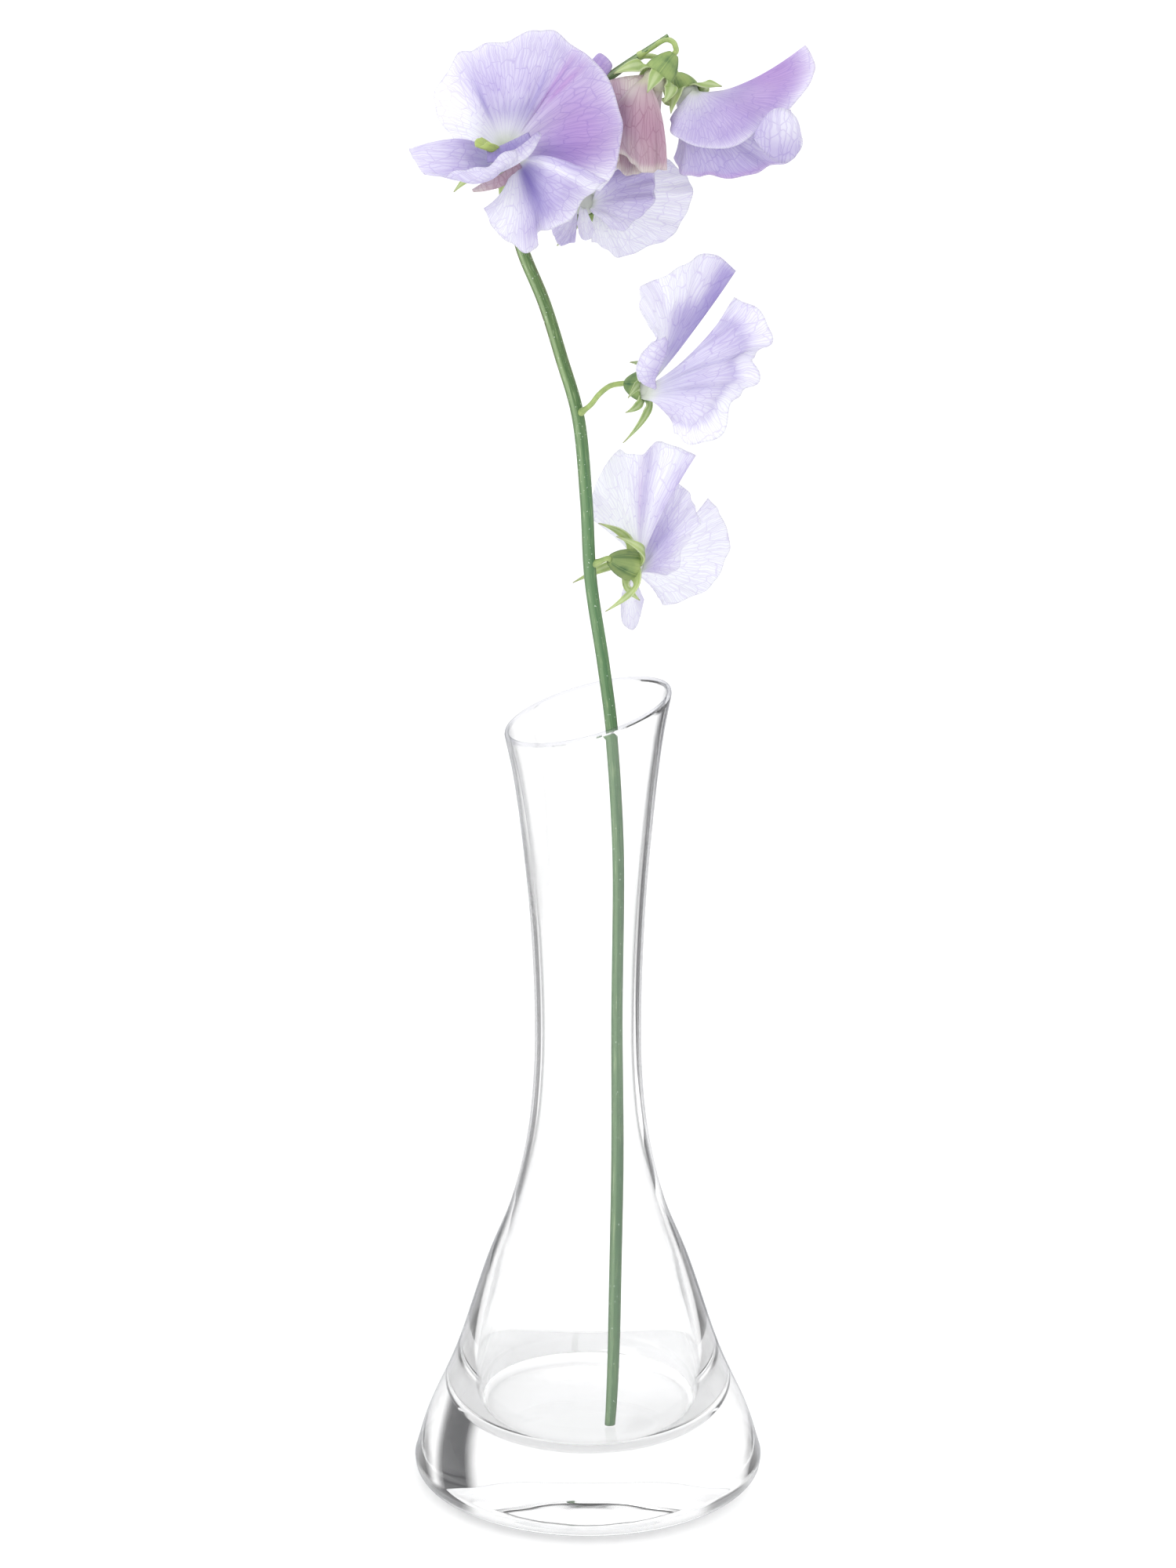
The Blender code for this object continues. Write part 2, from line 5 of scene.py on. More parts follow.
import bpy
import numpy as np
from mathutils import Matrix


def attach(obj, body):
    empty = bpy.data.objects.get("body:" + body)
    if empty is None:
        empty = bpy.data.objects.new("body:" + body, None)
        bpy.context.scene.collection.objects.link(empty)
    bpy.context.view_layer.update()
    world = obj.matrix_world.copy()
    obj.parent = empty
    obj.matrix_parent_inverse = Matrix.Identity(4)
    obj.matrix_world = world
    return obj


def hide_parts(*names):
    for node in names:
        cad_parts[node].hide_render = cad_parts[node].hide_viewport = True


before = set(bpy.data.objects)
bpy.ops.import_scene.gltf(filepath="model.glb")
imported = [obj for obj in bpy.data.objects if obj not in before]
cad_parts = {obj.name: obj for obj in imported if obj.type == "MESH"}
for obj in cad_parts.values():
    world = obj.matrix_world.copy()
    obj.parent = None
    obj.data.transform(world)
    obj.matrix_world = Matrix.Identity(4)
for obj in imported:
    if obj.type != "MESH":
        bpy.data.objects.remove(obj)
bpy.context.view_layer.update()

mm = 0.001
white = (1, 1, 1, 1)
scene = bpy.context.scene


class Value:
    # a socket with arithmetic: each operator adds a Math node
    def __init__(self, paint, socket):
        self.paint = paint
        self.socket = socket

    def output(self, number):
        # another output of the same node
        return Value(self.paint, self.socket.node.outputs[number])

    def maths(self, operation, *others):
        return self.paint.make("Math", dict(enumerate((self, *others))), {"operation": operation})

    def reflected(self, operation, other):
        return self.paint.make("Math", {0: other, 1: self}, {"operation": operation})

    def __add__(self, other):
        return self.maths("ADD", other)

    def __radd__(self, other):
        return self.reflected("ADD", other)

    def __sub__(self, other):
        return self.maths("SUBTRACT", other)

    def __rsub__(self, other):
        return self.reflected("SUBTRACT", other)

    def __mul__(self, other):
        return self.maths("MULTIPLY", other)

    def __rmul__(self, other):
        return self.reflected("MULTIPLY", other)

    def __abs__(self):
        return self.maths("ABSOLUTE")

    def step(self, low, high):
        # 0 at low, 1 at high, eased at both ends; works with low above high
        inputs = {0: self, 1: low, 2: high, 3: 0.0, 4: 1.0}
        return self.paint.make("MapRange", inputs, {"interpolation_type": "SMOOTHSTEP"})


class Paint:
    # a node tree that is filled by make(): any node from its type, inputs and settings
    def __init__(self, owner):
        owner.use_nodes = True
        self.owner = owner
        self.tree = owner.node_tree
        self.tree.nodes.clear()

    def make(self, kind, inputs=(), settings=(), output=0):
        node = self.tree.nodes.new("ShaderNode" + kind)
        for key, value in dict(settings).items():
            setattr(node, key, value)
        for key, value in dict(inputs).items():
            if isinstance(value, Value):
                self.tree.links.new(value.socket, node.inputs[key])
            else:
                node.inputs[key].default_value = value
        return Value(self, node.outputs[output])

    def mixed(self, factor, first, second, way="MIX"):
        settings = {"data_type": "RGBA", "blend_type": way}
        return self.make("Mix", {0: factor, 6: first, 7: second}, settings, 2)

    def blended(self, factor, first, second):
        return self.make("MixShader", {0: factor, 1: first, 2: second})

    def layered(self, look, first, layers):
        # colours laid one over the other, once as a colour and once as light that comes through, where
        # a shader of each colour is mixed by the same shares
        names = dict.fromkeys([first] + [name for share, name in layers])
        glow = {name: self.make("BsdfTranslucent", {"Color": look[name]}) for name in names}
        colour, through = look[first], glow[first]
        for share, name in layers:
            colour = self.mixed(share, colour, look[name])
            through = self.blended(share, through, glow[name])
        return colour, through

    def noise(self, vector, scale, detail=2.0):
        return self.make("TexNoise", {"Vector": vector, "Scale": scale, "Detail": detail})

    def place(self):
        # the place on the part, in metres
        return self.make("TexCoord", output=3)

    def skin(self):
        # the two directions of the piece's own map
        across = self.make("SeparateXYZ", {0: self.make("UVMap", settings={"uv_map": "skin"})})
        return across, across.output(1)

    def finished(self, shader, kind="OutputMaterial"):
        node = self.tree.nodes.new("ShaderNode" + kind)
        self.tree.links.new(shader.socket, node.inputs["Surface"])
        return self.owner


def unit(vector):
    # each vector divided by its own length
    vector = np.asarray(vector, float)
    return vector / np.linalg.norm(vector, axis=-1, keepdims=True)


def ringAngles(sides):
    # even angles round a full turn
    return np.arange(sides) * 2 * math.pi / sides


def smoothCurve(points, count):
    # points at even parameters on a Catmull-Rom curve through the given ones
    points = np.asarray(points, float)
    padded = np.vstack([2 * points[0] - points[1], points, 2 * points[-1] - points[-2]])
    at = np.linspace(0, len(points) - 1, count)
    first = np.minimum(at.astype(int), len(points) - 2)
    t = (at - first)[:, None]
    a, b, c, d = (padded[first + k] for k in range(4))
    cubic = (3 * b - a - 3 * c + d) * t ** 3
    return 0.5 * (2 * b + (c - a) * t + (2 * a - 5 * b + 4 * c - d) * t ** 2 + cubic)


def joinedQuads(numbers):
    # the quads between neighbours in a grid of point numbers
    corners = [numbers[:-1, :-1], numbers[:-1, 1:], numbers[1:, 1:], numbers[1:, :-1]]
    return np.stack(corners, -1).reshape(-1, 4)


def gridQuads(rows, columns, closed=False):
    # the quads of a grid of points stored row by row; closed joins its last column to its first
    numbers = np.arange(rows * columns).reshape(rows, columns)
    return joinedQuads(np.hstack([numbers, numbers[:, :1]]) if closed else numbers)


def endCaps(count, sides):
    # the two end faces of a tube whose points are stored ring by ring
    return [list(range(sides))[::-1], list(range(count - sides, count))]


def meshPiece(name, points, quads, caps=(), uv=None, tone=None, thickness=0):
    # one object from millimetre points; uv and tone are given for each point
    mesh = bpy.data.meshes.new(name)
    faces = np.asarray(quads).tolist() + [list(cap) for cap in caps]
    mesh.from_pydata((np.asarray(points) * mm).tolist(), [], faces)
    mesh.polygons.foreach_set("use_smooth", np.ones(len(mesh.polygons), bool))
    corners = np.zeros(len(mesh.loops), int)
    mesh.loops.foreach_get("vertex_index", corners)
    if uv is not None:
        mesh.uv_layers.new(name="skin").data.foreach_set("uv", np.asarray(uv, float)[corners].ravel())
    if tone is not None:
        made = mesh.color_attributes.new("tone", "FLOAT_COLOR", "POINT")
        made.data.foreach_set("color", np.asarray(tone, float).ravel())
    shown = bpy.data.objects.new(name, mesh)
    scene.collection.objects.link(shown)
    if thickness:
        solid = shown.modifiers.new("thickness", "SOLIDIFY")
        solid.thickness = thickness * mm
        solid.offset = 0
        solid.use_even_offset = False
    return shown


def dress(shown, material, node):
    # the piece gets its material and stands in for one node of the frame
    shown.data.materials.append(material)
    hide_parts(node)
    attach(shown, "root")


def tubeGrid(path, radii, sides, across=(0, 0.3, 1)):
    # rings about a path, carried along it without twist: the point at an angle is the path's point plus
    # the radius times cosine and sine along two directions across it; radii may vary round the ring too
    path = np.asarray(path, float)
    along = unit(np.gradient(path, axis=0))
    across = np.asarray(across, float)
    carried = []
    for direction in along:
        across = unit(across - direction * (direction @ across))
        carried.append(across)
    carried = np.array(carried)
    other = np.cross(along, carried)
    angle = ringAngles(sides)
    cosine, sine = np.cos(angle)[:, None], np.sin(angle)[:, None]
    ring = cosine * carried[:, None] + sine * other[:, None]
    radii = np.broadcast_to(np.asarray(radii, float).reshape(len(path), -1), (len(path), sides))
    points = (path[:, None] + ring * radii[..., None]).reshape(-1, 3)
    skin = np.stack(np.meshgrid(angle / (2 * math.pi), np.linspace(0, 1, len(path))), -1).reshape(-1, 2)
    return points, gridQuads(len(path), sides, True), skin


# The vase: radius and height of its underside, its outside, its lip and its bore, with the number of rings
# in each; the mouth is cut at a slant. rimSlope is the rise of the mouth's plane for each mm to the right.
# The lip's line and the part of the neck cleared by painted light are given in metres, as the shader reads
# them.
vase = {
    "under": [(0.02, 0.7), (12, 0.6), (24, 0.2), (33, 0), (37.5, 0.2), (40, 1.2), (41.2, 2.6),
              (41.5, 4.5)],
    "outside": [(41.5, 4.5), (38.3, 15), (31.4, 31.5), (24.2, 54), (18.1, 70), (14.3, 87), (12.7, 104),
                (12.6, 122), (13.5, 143), (15.3, 164), (17.2, 180), (19.3, 191.5)],
    "lip": [(19.3, 191.5), (19.15, 192.2), (18.8, 192.45), (18.45, 192.2), (18.3, 191.5)],
    "bore": [(18.3, 191.5), (15.9, 180), (13.7, 164), (11.8, 143), (10.9, 122), (11, 104), (12.6, 87),
             (16.5, 70), (21.9, 54), (26.2, 36), (28.2, 24), (27.4, 18), (24.5, 15.4), (15, 13.6),
             (6, 13.1), (0.02, 13)],
    "rings": {"under": 40, "outside": 110, "lip": 12, "bore": 150},
    "sides": 160,
    "slantFrom": 110,
    "rimHeight": 191.5,
    "rimRadius": 18.4,
    "rimSlope": 0.272,
    "tint": (0.994, 0.998, 1.0, 1),
    "ior": 1.48,
    "smears": 0.004,
    "lipLine": (0.1912, 0.1916),
    "lipStrength": 0.92,
    "lipShade": (0.88, 0.88, 0.9, 1),
    "edgeLine": (0.5, 0.95),
    "edgeStrength": 0.6,
    "edgeShade": (0.36, 0.37, 0.40, 1),
    "paintedLightUp": (0.136, 0.165),
    "paintedLightLeft": (-0.004, -0.013),
    "paintedLightStrength": 0.7,
}


def glassPaint():
    paint = Paint(bpy.data.materials.new("glass"))
    place = paint.place()
    smear = paint.noise(place, 90.0)
    surface = paint.make("BsdfPrincipled", {
        "Base Color": paint.mixed(smear, vase["tint"], white),
        "Roughness": smear.step(0.6, 0.9) * vase["smears"],
        "Transmission Weight": 1.0, "IOR": vase["ior"]})
    # painted shade: the rounded lip lets light straight through with a little grey, so that it reads as
    # one thin grey line
    x = paint.make("SeparateXYZ", {0: place})
    z = x.output(2)
    lip = (z - x * vase["rimSlope"]).step(*vase["lipLine"]) * vase["lipStrength"]
    # painted light: the left side of the neck lets light straight through, more so upwards, which takes
    # away its dark lines
    paintedLightNeck = z.step(*vase["paintedLightUp"]) * x.step(*vase["paintedLightLeft"]) * vase["paintedLightStrength"]
    # painted shade: seen along its skin the glass is given a grey, so that its outline shows as soft grey
    # lines
    paintedEdgeShade = paint.make("LayerWeight", {"Blend": 0.5}, output=1)
    paintedEdgeShade = paintedEdgeShade.step(*vase["edgeLine"]) * vase["edgeStrength"]
    clear, shade, edge = (paint.make("BsdfTransparent", {"Color": colour})
                          for colour in (white, vase["lipShade"], vase["edgeShade"]))
    straight = paint.blended(paintedEdgeShade, paint.blended(lip, clear, shade), edge)
    share = lip.maths("MAXIMUM", paintedLightNeck).maths("MAXIMUM", paintedEdgeShade)
    return paint.finished(paint.blended(share, surface, straight))


def buildVase():
    # a profile turned about the upright axis: x and y are the radius times cosine and sine of the angle,
    # and near the rim the height grows with x, so that the mouth slants
    rows = [smoothCurve(vase[part], count)[1:] for part, count in vase["rings"].items()]
    profile = np.vstack([vase["under"][:1]] + rows)
    sides = vase["sides"]
    angle = ringAngles(sides)
    radius, height = profile[:, :1], profile[:, 1:]
    # the slant grows evenly from slantFrom up to the rim
    rise = np.clip((height - vase["slantFrom"]) / (vase["rimHeight"] - vase["slantFrom"]), 0, None)
    z = height + rise * vase["rimSlope"] * vase["rimRadius"] * np.cos(angle)
    points = np.stack([radius * np.cos(angle), radius * np.sin(angle), z], -1).reshape(-1, 3)
    quads = gridQuads(len(profile), sides, True)
    shown = meshPiece("glass_vase", points, quads, endCaps(len(points), sides))
    shown.visible_shadow = False
    dress(shown, glassPaint(), "vase")
    print("built the vase")


# The long stalk: its line, its half width by share of its length, and its colours
stem = {
    "path": [(5.3, -13.3, 14.4), (6.1, -9.5, 39.6), (6.8, -2, 80.7), (7, 4.6, 113.9), (7.3, 6.5, 152.5),
             (5.8, 7.5, 181.2), (3.6, 8, 200.3), (0.6, 9, 220.9), (-0.4, 8.5, 239.9),
             (-2.2, 7.5, 259.8), (-6.2, 7, 274.8), (-10.1, 7, 287.7), (-14.9, 7.5, 299.8),
             (-16.8, 9, 309.6), (-15.8, 11, 319.5), (-9, 10, 330), (3.3, 7, 338.8), (11.2, 5, 344.9),
             (17.8, 3.5, 350)],
    "radii": [(0, 1.3), (0.06, 1.5), (0.7, 1.5), (0.85, 1.3), (0.93, 0.9), (1, 0.4)],
    "rings": 420,
    "sides": 40,
    "green": (0.12, 0.21, 0.065, 1),
    "dark": (0.05, 0.12, 0.035, 1),
    "pale": (0.42, 0.54, 0.30, 1),
    "seam": (0.20, 0.13, 0.08, 1),
    "paintedGlassShade": (0.085, 0.21, 0.10, 1),
    "speck": (0.7, 0.8, 0.68, 1),
    "roughness": 0.5,
}


def stalkPaint():
    paint = Paint(bpy.data.materials.new("stalk"))
    x, y = paint.skin()
    # pale along the three ribs with a brown line beside each, darker streaks that run with the stalk
    # the pale of the ribs is partly their own colour and partly a painted highlight along the stalk's
    # sides
    turn = (x * 3.0 + 0.3).maths("FRACT")
    ribAndHighlight = abs(turn - 0.5).step(0.22, 0.06)
    seam = abs(turn - 0.24).step(0.07, 0.02)
    around = paint.make("CombineXYZ", {0: x * 18.0, 1: y * 16.0})
    streak = paint.noise(around, 1.0, 3.0).step(0.38, 0.62)
    around = paint.make("CombineXYZ", {0: x * 26.0, 1: y * 70.0, 2: 4.0})
    fleck = paint.noise(around, 1.0).step(0.56, 0.7)
    speck = paint.noise(paint.place(), 1700.0, 1.0).step(0.7, 0.76)
    # painted shade: below the rim of the glass the green is painted bluer and duller, as it looks through
    # the glass
    paintedGlassShade = y.step(0.57, 0.42) * (0.55 - fleck * 0.3)
    skinColour = stem["green"]
    for share, name in ((streak * 0.75, "dark"), (ribAndHighlight * 0.45 + fleck * 0.35, "pale"),
                        (seam * streak * 0.7, "seam"), (paintedGlassShade, "paintedGlassShade"), (speck * 0.6, "speck")):
        skinColour = paint.mixed(share, skinColour, stem[name])
    bump = paint.make("Bump", {"Strength": 0.35, "Distance": 0.0002, "Height": streak})
    return paint.finished(paint.make("BsdfPrincipled", {
        "Base Color": skinColour, "Roughness": streak * 0.15 + stem["roughness"], "Normal": bump}))


def buildStem():
    # a tube along a smooth curve, its radius waved by three low ribs and seven faint ridges round it
    path = smoothCurve(stem["path"], stem["rings"])
    share = np.linspace(0, 1, len(path))[:, None]
    angle = ringAngles(stem["sides"])
    radius = np.interp(share, *zip(*stem["radii"]))
    ribs, ridges = np.cos(3 * angle - 1.26) ** 3, np.cos(7 * angle + 9 * share)
    points, quads, skin = tubeGrid(path, radius * (0.97 + 0.04 * ribs + 0.02 * ridges), stem["sides"])
    shown = meshPiece("flower_stalk", points, quads, endCaps(len(points), stem["sides"]), skin)
    dress(shown, stalkPaint(), "stem")
    print("built the stalk")


# Petals: where each starts above the calyx mouth (radius, angle from the way up, half angle, lift) and
# how it is waved; ruffle is the height, count and start of the waves at the margin. column gives heights
# and radii of the blunt column between the claws, sunk how deep the claws reach into the calyx, veinGap
# the distance of the main veins at the margin.
petals = {
    "kinds": ("standard", "wing_right", "wing_left", "keel"),
    "claws": {"standard": (2.8, 0, 58, 1), "wing": (2.4, 118, 38, 1.2), "keel": (1, 180, 75, 1.4)},
    "ruffle": {"standard": (0.7, 4.5, 0.45), "wing": (0.85, 3.2, 0.4), "keel": (0.2, 2, 0.5)},
    "column": [(-2.2, 2.6), (-0.5, 3.0), (0.7, 2.8), (1.6, 2.2), (2.3, 1.2), (2.6, 0.05)],
    "columnSides": 24,
    "thickness": 0.2,
    "rows": 46,
    "perVein": 11,
    "clawRows": 4,
    "sunk": 2.2,
    "veinGap": 3.4,
}
lilac = {
    "colour": (0.63, 0.565, 0.81, 1),
    "paleColour": (0.955, 0.965, 0.985, 1),
    "blushColour": (0.61, 0.41, 0.74, 1),
    "deepAndShadeColour": (0.36, 0.30, 0.66, 1),
    "throatColour": (0.84, 0.88, 0.78, 1),
    "veinColour": (0.60, 0.50, 0.80, 1),
    "veinGlow": (0.47, 0.37, 0.71, 1),
    "veins": 0.6, "veinWidth": 0.05, "body": 1.0, "cells": 6.0, "roughness": 0.5, "through": 0.45,
}
mauve = dict(lilac, colour=(0.62, 0.43, 0.56, 1), paleColour=(0.84, 0.80, 0.76, 1),
             blushColour=(0.58, 0.33, 0.47, 1), deepAndShadeColour=(0.42, 0.24, 0.34, 1),
             throatColour=(0.80, 0.80, 0.62, 1), veinColour=(0.66, 0.44, 0.56, 1),
             veinGlow=(0.45, 0.24, 0.35, 1), body=0.85, cells=4.5)
lime = dict(lilac, colour=(0.60, 0.72, 0.25, 1), paleColour=(0.80, 0.86, 0.55, 1),
            veinGlow=(0.42, 0.46, 0.30, 1), veins=0.3)


def bloomFrame(bloom):
    # axis of the calyx, the way up across it, and the way to the side
    axis = unit(-np.array(bloom["base"], float))
    up = np.array(bloom["up"], float)
    up = unit(up - axis * (up @ axis))
    return axis, up, np.cross(up, axis)


def petalGrid(kind, bloom):
    # a fan of veins, as points[row, column]: each is a quadratic curve from its start on a short line just
    # above the calyx through its middle point, half way, to its end on the margin; between the given veins
    # middle points and ends follow smooth curves
    axis, up, side = bloomFrame(bloom)
    columns = (len(bloom[kind]) - 1) * petals["perVein"] + 1
    middle, end = np.split(smoothCurve(bloom[kind], columns), 2, axis=1)
    family = kind.split("_")[0]
    radius, centre, half, lift = bloom.get("claws", {}).get(kind) or petals["claws"][family]
    if family == "wing":
        # each wing starts on the side to which its margin lies
        right, left = (np.array(bloom["wing_" + hand])[:, 3:] for hand in ("right", "left"))
        toSide = (right.mean(axis=0) - left.mean(axis=0)) @ side
        centre *= math.copysign(1, toSide) * (1 if kind == "wing_right" else -1)
    turn = np.radians(centre)
    spread = np.linspace(-1, 1, columns)[:, None]
    across = end[-1] - end[0]
    if family != "wing":
        # on an arc round the mouth
        order = math.copysign(1, across @ (math.cos(turn) * side - math.sin(turn) * up))
        angle = turn + order * np.radians(half) * spread
        start = radius * (np.cos(angle) * up + np.sin(angle) * side)
    else:
        # on a shallow bow across the petal
        across = unit(across - axis * (across @ axis))
        start = radius * (math.cos(turn) * up + math.sin(turn) * side)
        ahead = middle.mean(axis=0) - start - lift * axis
        ahead = unit(ahead - across * (ahead @ across))
        bow = spread * across - 0.2 * spread ** 2 * ahead
        start = start + radius * math.sin(np.radians(half)) * bow
    start += lift * axis
    control = 2 * middle - (start + end) / 2
    along = np.linspace(0, 1, petals["rows"])[:, None, None]
    sheet = (1 - along) ** 2 * start + 2 * along * (1 - along) * control + along ** 2 * end
    return sheet + bloom["mouth"], axis


def sheetNormals(grid):
    # unit normals of a grid of points, from its differences along and across
    return unit(np.cross(np.gradient(grid, axis=1), np.gradient(grid, axis=0)) + 1e-9)


def blobs(u, v, marks):
    # sum of soft spots, each given by its place (u, v), its half widths and its strength; a sixth
    # number above 2 makes a spot flat inside with a crisp edge
    total = np.zeros(np.broadcast(u, v).shape)
    for u0, v0, wide, tall, strength, *crisp in marks:
        power = crisp[0] if crisp else 2
        total += strength * np.exp(-abs((u - u0) / wide) ** power - abs((v - v0) / tall) ** power)
    return np.clip(total, 0, 1)


def toneOf(u, v, look, veinGap):
    # for each point the strength of the three colour marks, partly painted shade and highlight, and its
    # main veins' gap in cm
    tone = [blobs(u, v, look.get(mark, ())) for mark in ("blush", "deep", "pale")]
    return np.stack(np.broadcast_arrays(*tone, veinGap), -1).reshape(-1, 4)


def petalWaves(u, v, family, look, phase):
    # how far each point is lifted off the smooth sheet
    height, waves, start = look.get("ruffle", petals["ruffle"][family])
    margin = np.clip((v - start) / (1 - start), 0, 1) ** 1.6
    # waves at the margin: a slow one and a quicker one of half its height, dying out inwards
    slow = np.sin(2 * math.pi * waves * u + phase)
    quick = np.sin(2 * math.pi * waves * 2.3 * u + 2 * phase + 1.5 * v)
    lifted = height * margin * (slow + 0.5 * quick)
    # the outermost part rolls over, away from the inner face
    lifted = lifted + look.get("roll", 0) * np.clip((v - 0.78) / 0.22, 0, 1) ** 2
    # ridges along the veins, highest about half way out
    swell = np.sin(math.pi * np.clip(v * 1.1, 0, 1)) ** 0.8
    for u0, tall, wide in look.get("folds", ()):
        lifted = lifted + tall * np.exp(-((u - u0) / wide) ** 2) * swell
    return lifted * np.clip(v * 3, 0, 1)


def withClaw(grid, axis):
    # rows of a claw, growing narrower, run on from the petal's first row down into the calyx
    steps = np.linspace(1, 0.25, petals["clawRows"])[:, None, None]
    first = grid[0]
    claw = first - steps * petals["sunk"] * axis + (first.mean(axis=0) - first) * 0.25 * steps
    return np.concatenate([claw, grid])


def buildPetal(bloomName, kind, bloom, look, material):
    family = kind.split("_")[0]
    grid, axis = petalGrid(kind, bloom)
    phase = len(bloomName) + 2.3 * len(kind)
    rows, columns = grid.shape[:2]
    v, u = np.linspace(0, 1, rows)[:, None], np.linspace(0, 1, columns)[None, :]
    # how wide the petal would be at each point, from the distance between its columns there
    width = np.linalg.norm(np.gradient(grid, axis=1), axis=2) * (columns - 1)
    grid = grid + sheetNormals(grid) * petalWaves(u, v, family, look, phase)[..., None]
    grid = withClaw(grid, axis)
    added = len(grid) - rows
    v = np.concatenate([np.zeros((added, 1)), v])
    width = np.concatenate([width[:1].repeat(added, axis=0), width])
    veinCount = max(3, round(width[-1].mean() / petals["veinGap"]))
    uv = np.stack(np.broadcast_arrays(u * veinCount + phase, v), -1).reshape(-1, 2)
    name = bloomName + "_" + kind
    shown = meshPiece("petal_" + name, grid.reshape(-1, 3), gridQuads(len(grid), columns), (), uv,
                      toneOf(u, v, look, width / veinCount / 10), petals["thickness"])
    dress(shown, material, name)


def buildColumn(bloomName, bloom, material):
    # a blunt column, turned about the axis, that stands in the mouth of the calyx between the claws
    axis, up, side = bloomFrame(bloom)
    height, radius = np.array(petals["column"]).T[..., None, None]
    angle = ringAngles(petals["columnSides"])
    circle = np.cos(angle)[:, None] * up + np.sin(angle)[:, None] * side
    points = (height * axis + radius * circle).reshape(-1, 3) + bloom["mouth"]
    quads = gridQuads(len(height), len(angle), True)[:, ::-1]
    caps = [cap[::-1] for cap in endCaps(len(points), len(angle))]
    shown = meshPiece("column_" + bloomName, points, quads, caps,
                      np.tile((0.25, 0), (len(points), 1)), np.tile((0, 0, 1, 0.1), (len(points), 1)))
    dress(shown, material, bloomName + "_keel")


def veinLines(paint, u, v, gap, wander, look):
    # main veins at whole u; each forks into two, and those again, further out; gap is the distance
    # of the main veins in mm, and a line is never wider than a small share of it
    wide = gap.maths("MINIMUM", 3.0) * look["veinWidth"]
    near = abs((u + 0.5).maths("FRACT") - 0.5)
    fork = abs(near - v.step(0.05, 0.75) * 0.3)
    twig = abs(fork - v.step(0.45, 1.05) * 0.13)
    line = (near * gap).step(wide, wide * 0.1) * 0.7
    line = line.maths("MAXIMUM", (fork * gap).step(wide, wide * 0.1) * 0.7)
    line = line.maths("MAXIMUM", (twig * gap).step(wide, wide * 0.1) * v.step(0.5, 0.8) * 0.6)
    # a net of long cells between them
    cell = paint.make("CombineXYZ", {0: u * 1.7, 1: v * look["cells"] + wander * 1.5})
    net = paint.make("TexVoronoi", {"Vector": cell, "Scale": 1.0},
                     {"feature": "DISTANCE_TO_EDGE", "voronoi_dimensions": "2D"})
    return line.maths("MAXIMUM", net.step(0.07, 0.0) * v.step(0.12, 0.35) * 0.9)


def petalPaint(name, look):
    paint = Paint(bpy.data.materials.new(name))
    u, v = paint.skin()
    place = paint.place()
    tone = paint.make("VertexColor", settings={"layer_name": "tone"})
    blush = paint.make("SeparateColor", {0: tone})
    deep, pale = blush.output(1), blush.output(2)
    wander = paint.noise(place, 160.0, 4.0) - 0.5
    u = u + wander * 0.9 * v
    line = veinLines(paint, u, v, tone.output(1) * 10.0, wander, look)
    cloud = paint.noise(place, 130.0, 3.0).step(0.3, 0.7)
    bump = paint.make("Bump", {
        "Strength": 0.35, "Distance": 0.00012, "Height": line * 0.7 + cloud * 0.5})
    # pale at the claw, the petal's own colour further out, then the marks with their painted shade and
    # highlight, the throat, the pale margin
    body = (cloud * 0.35 + v.step(0.0, 0.6) * 0.65) * look["body"]
    base, through = paint.layered(look, "paleColour", [
        (body, "colour"), (blush, "blushColour"), (deep, "deepAndShadeColour"), (pale, "paleColour"),
        (v.step(0.16, 0.0) * 0.8, "throatColour"), (v.step(0.955, 1.0) * 0.35, "paleColour")])
    veined = line * (1.0 - pale * 0.4) * look["veins"]
    base = paint.mixed(veined, base, look["veinColour"], "MULTIPLY")
    through = paint.blended(veined, through, paint.make("BsdfTranslucent", {"Color": look["veinGlow"]}))
    surface = paint.make("BsdfPrincipled", {
        "Base Color": base, "Roughness": cloud * 0.12 + look["roughness"], "Normal": bump,
        "Specular IOR Level": 0.25, "Sheen Weight": 0.15, "Sheen Roughness": 0.4})
    return paint.finished(paint.blended(look["through"], surface, through))


# Calyxes: the bell's radius and the wall of bell and sepals; the little stalk's half width, the length of
# its steps and how clear of the long stalk its bends stay; the colours. A bell has perSepal columns for
# each of its five sepals.
calyx = {
    "cupRadius": 3.4,
    "thickness": 0.35,
    "perSepal": 12,
    "cupRows": 18,
    "sepalRows": 22,
    "pedicelRadius": 0.62,
    "pedicelSides": 18,
    "pedicelStep": 0.3,
    "pedicelClear": 2.2,
    "green": (0.25, 0.39, 0.12, 1),
    "yellow": (0.55, 0.66, 0.24, 1),
    "dark": (0.06, 0.15, 0.06, 1),
    "pale": (0.72, 0.80, 0.50, 1),
    "tip": (0.34, 0.31, 0.20, 1),
    "through": 0.25,
    "roughness": 0.5,
}


def bellRings(base, circle, angle):
    # rings from the foot to the mouth of the bell: the radius grows with a power of a sine of the share
    # of the way, and a cosine of five times the angle gives five low ribs that run down from the sepals
    share = np.linspace(0.03, 1, calyx["cupRows"])
    radius = calyx["cupRadius"] * (0.25 + 0.75 * np.sin(share * math.pi / 2) ** 0.8)
    ribAndHighlight = 1 + 0.03 * np.cos(5 * angle)
    return base - base * share[:, None, None] + circle * (radius[:, None] * ribAndHighlight)[..., None], share


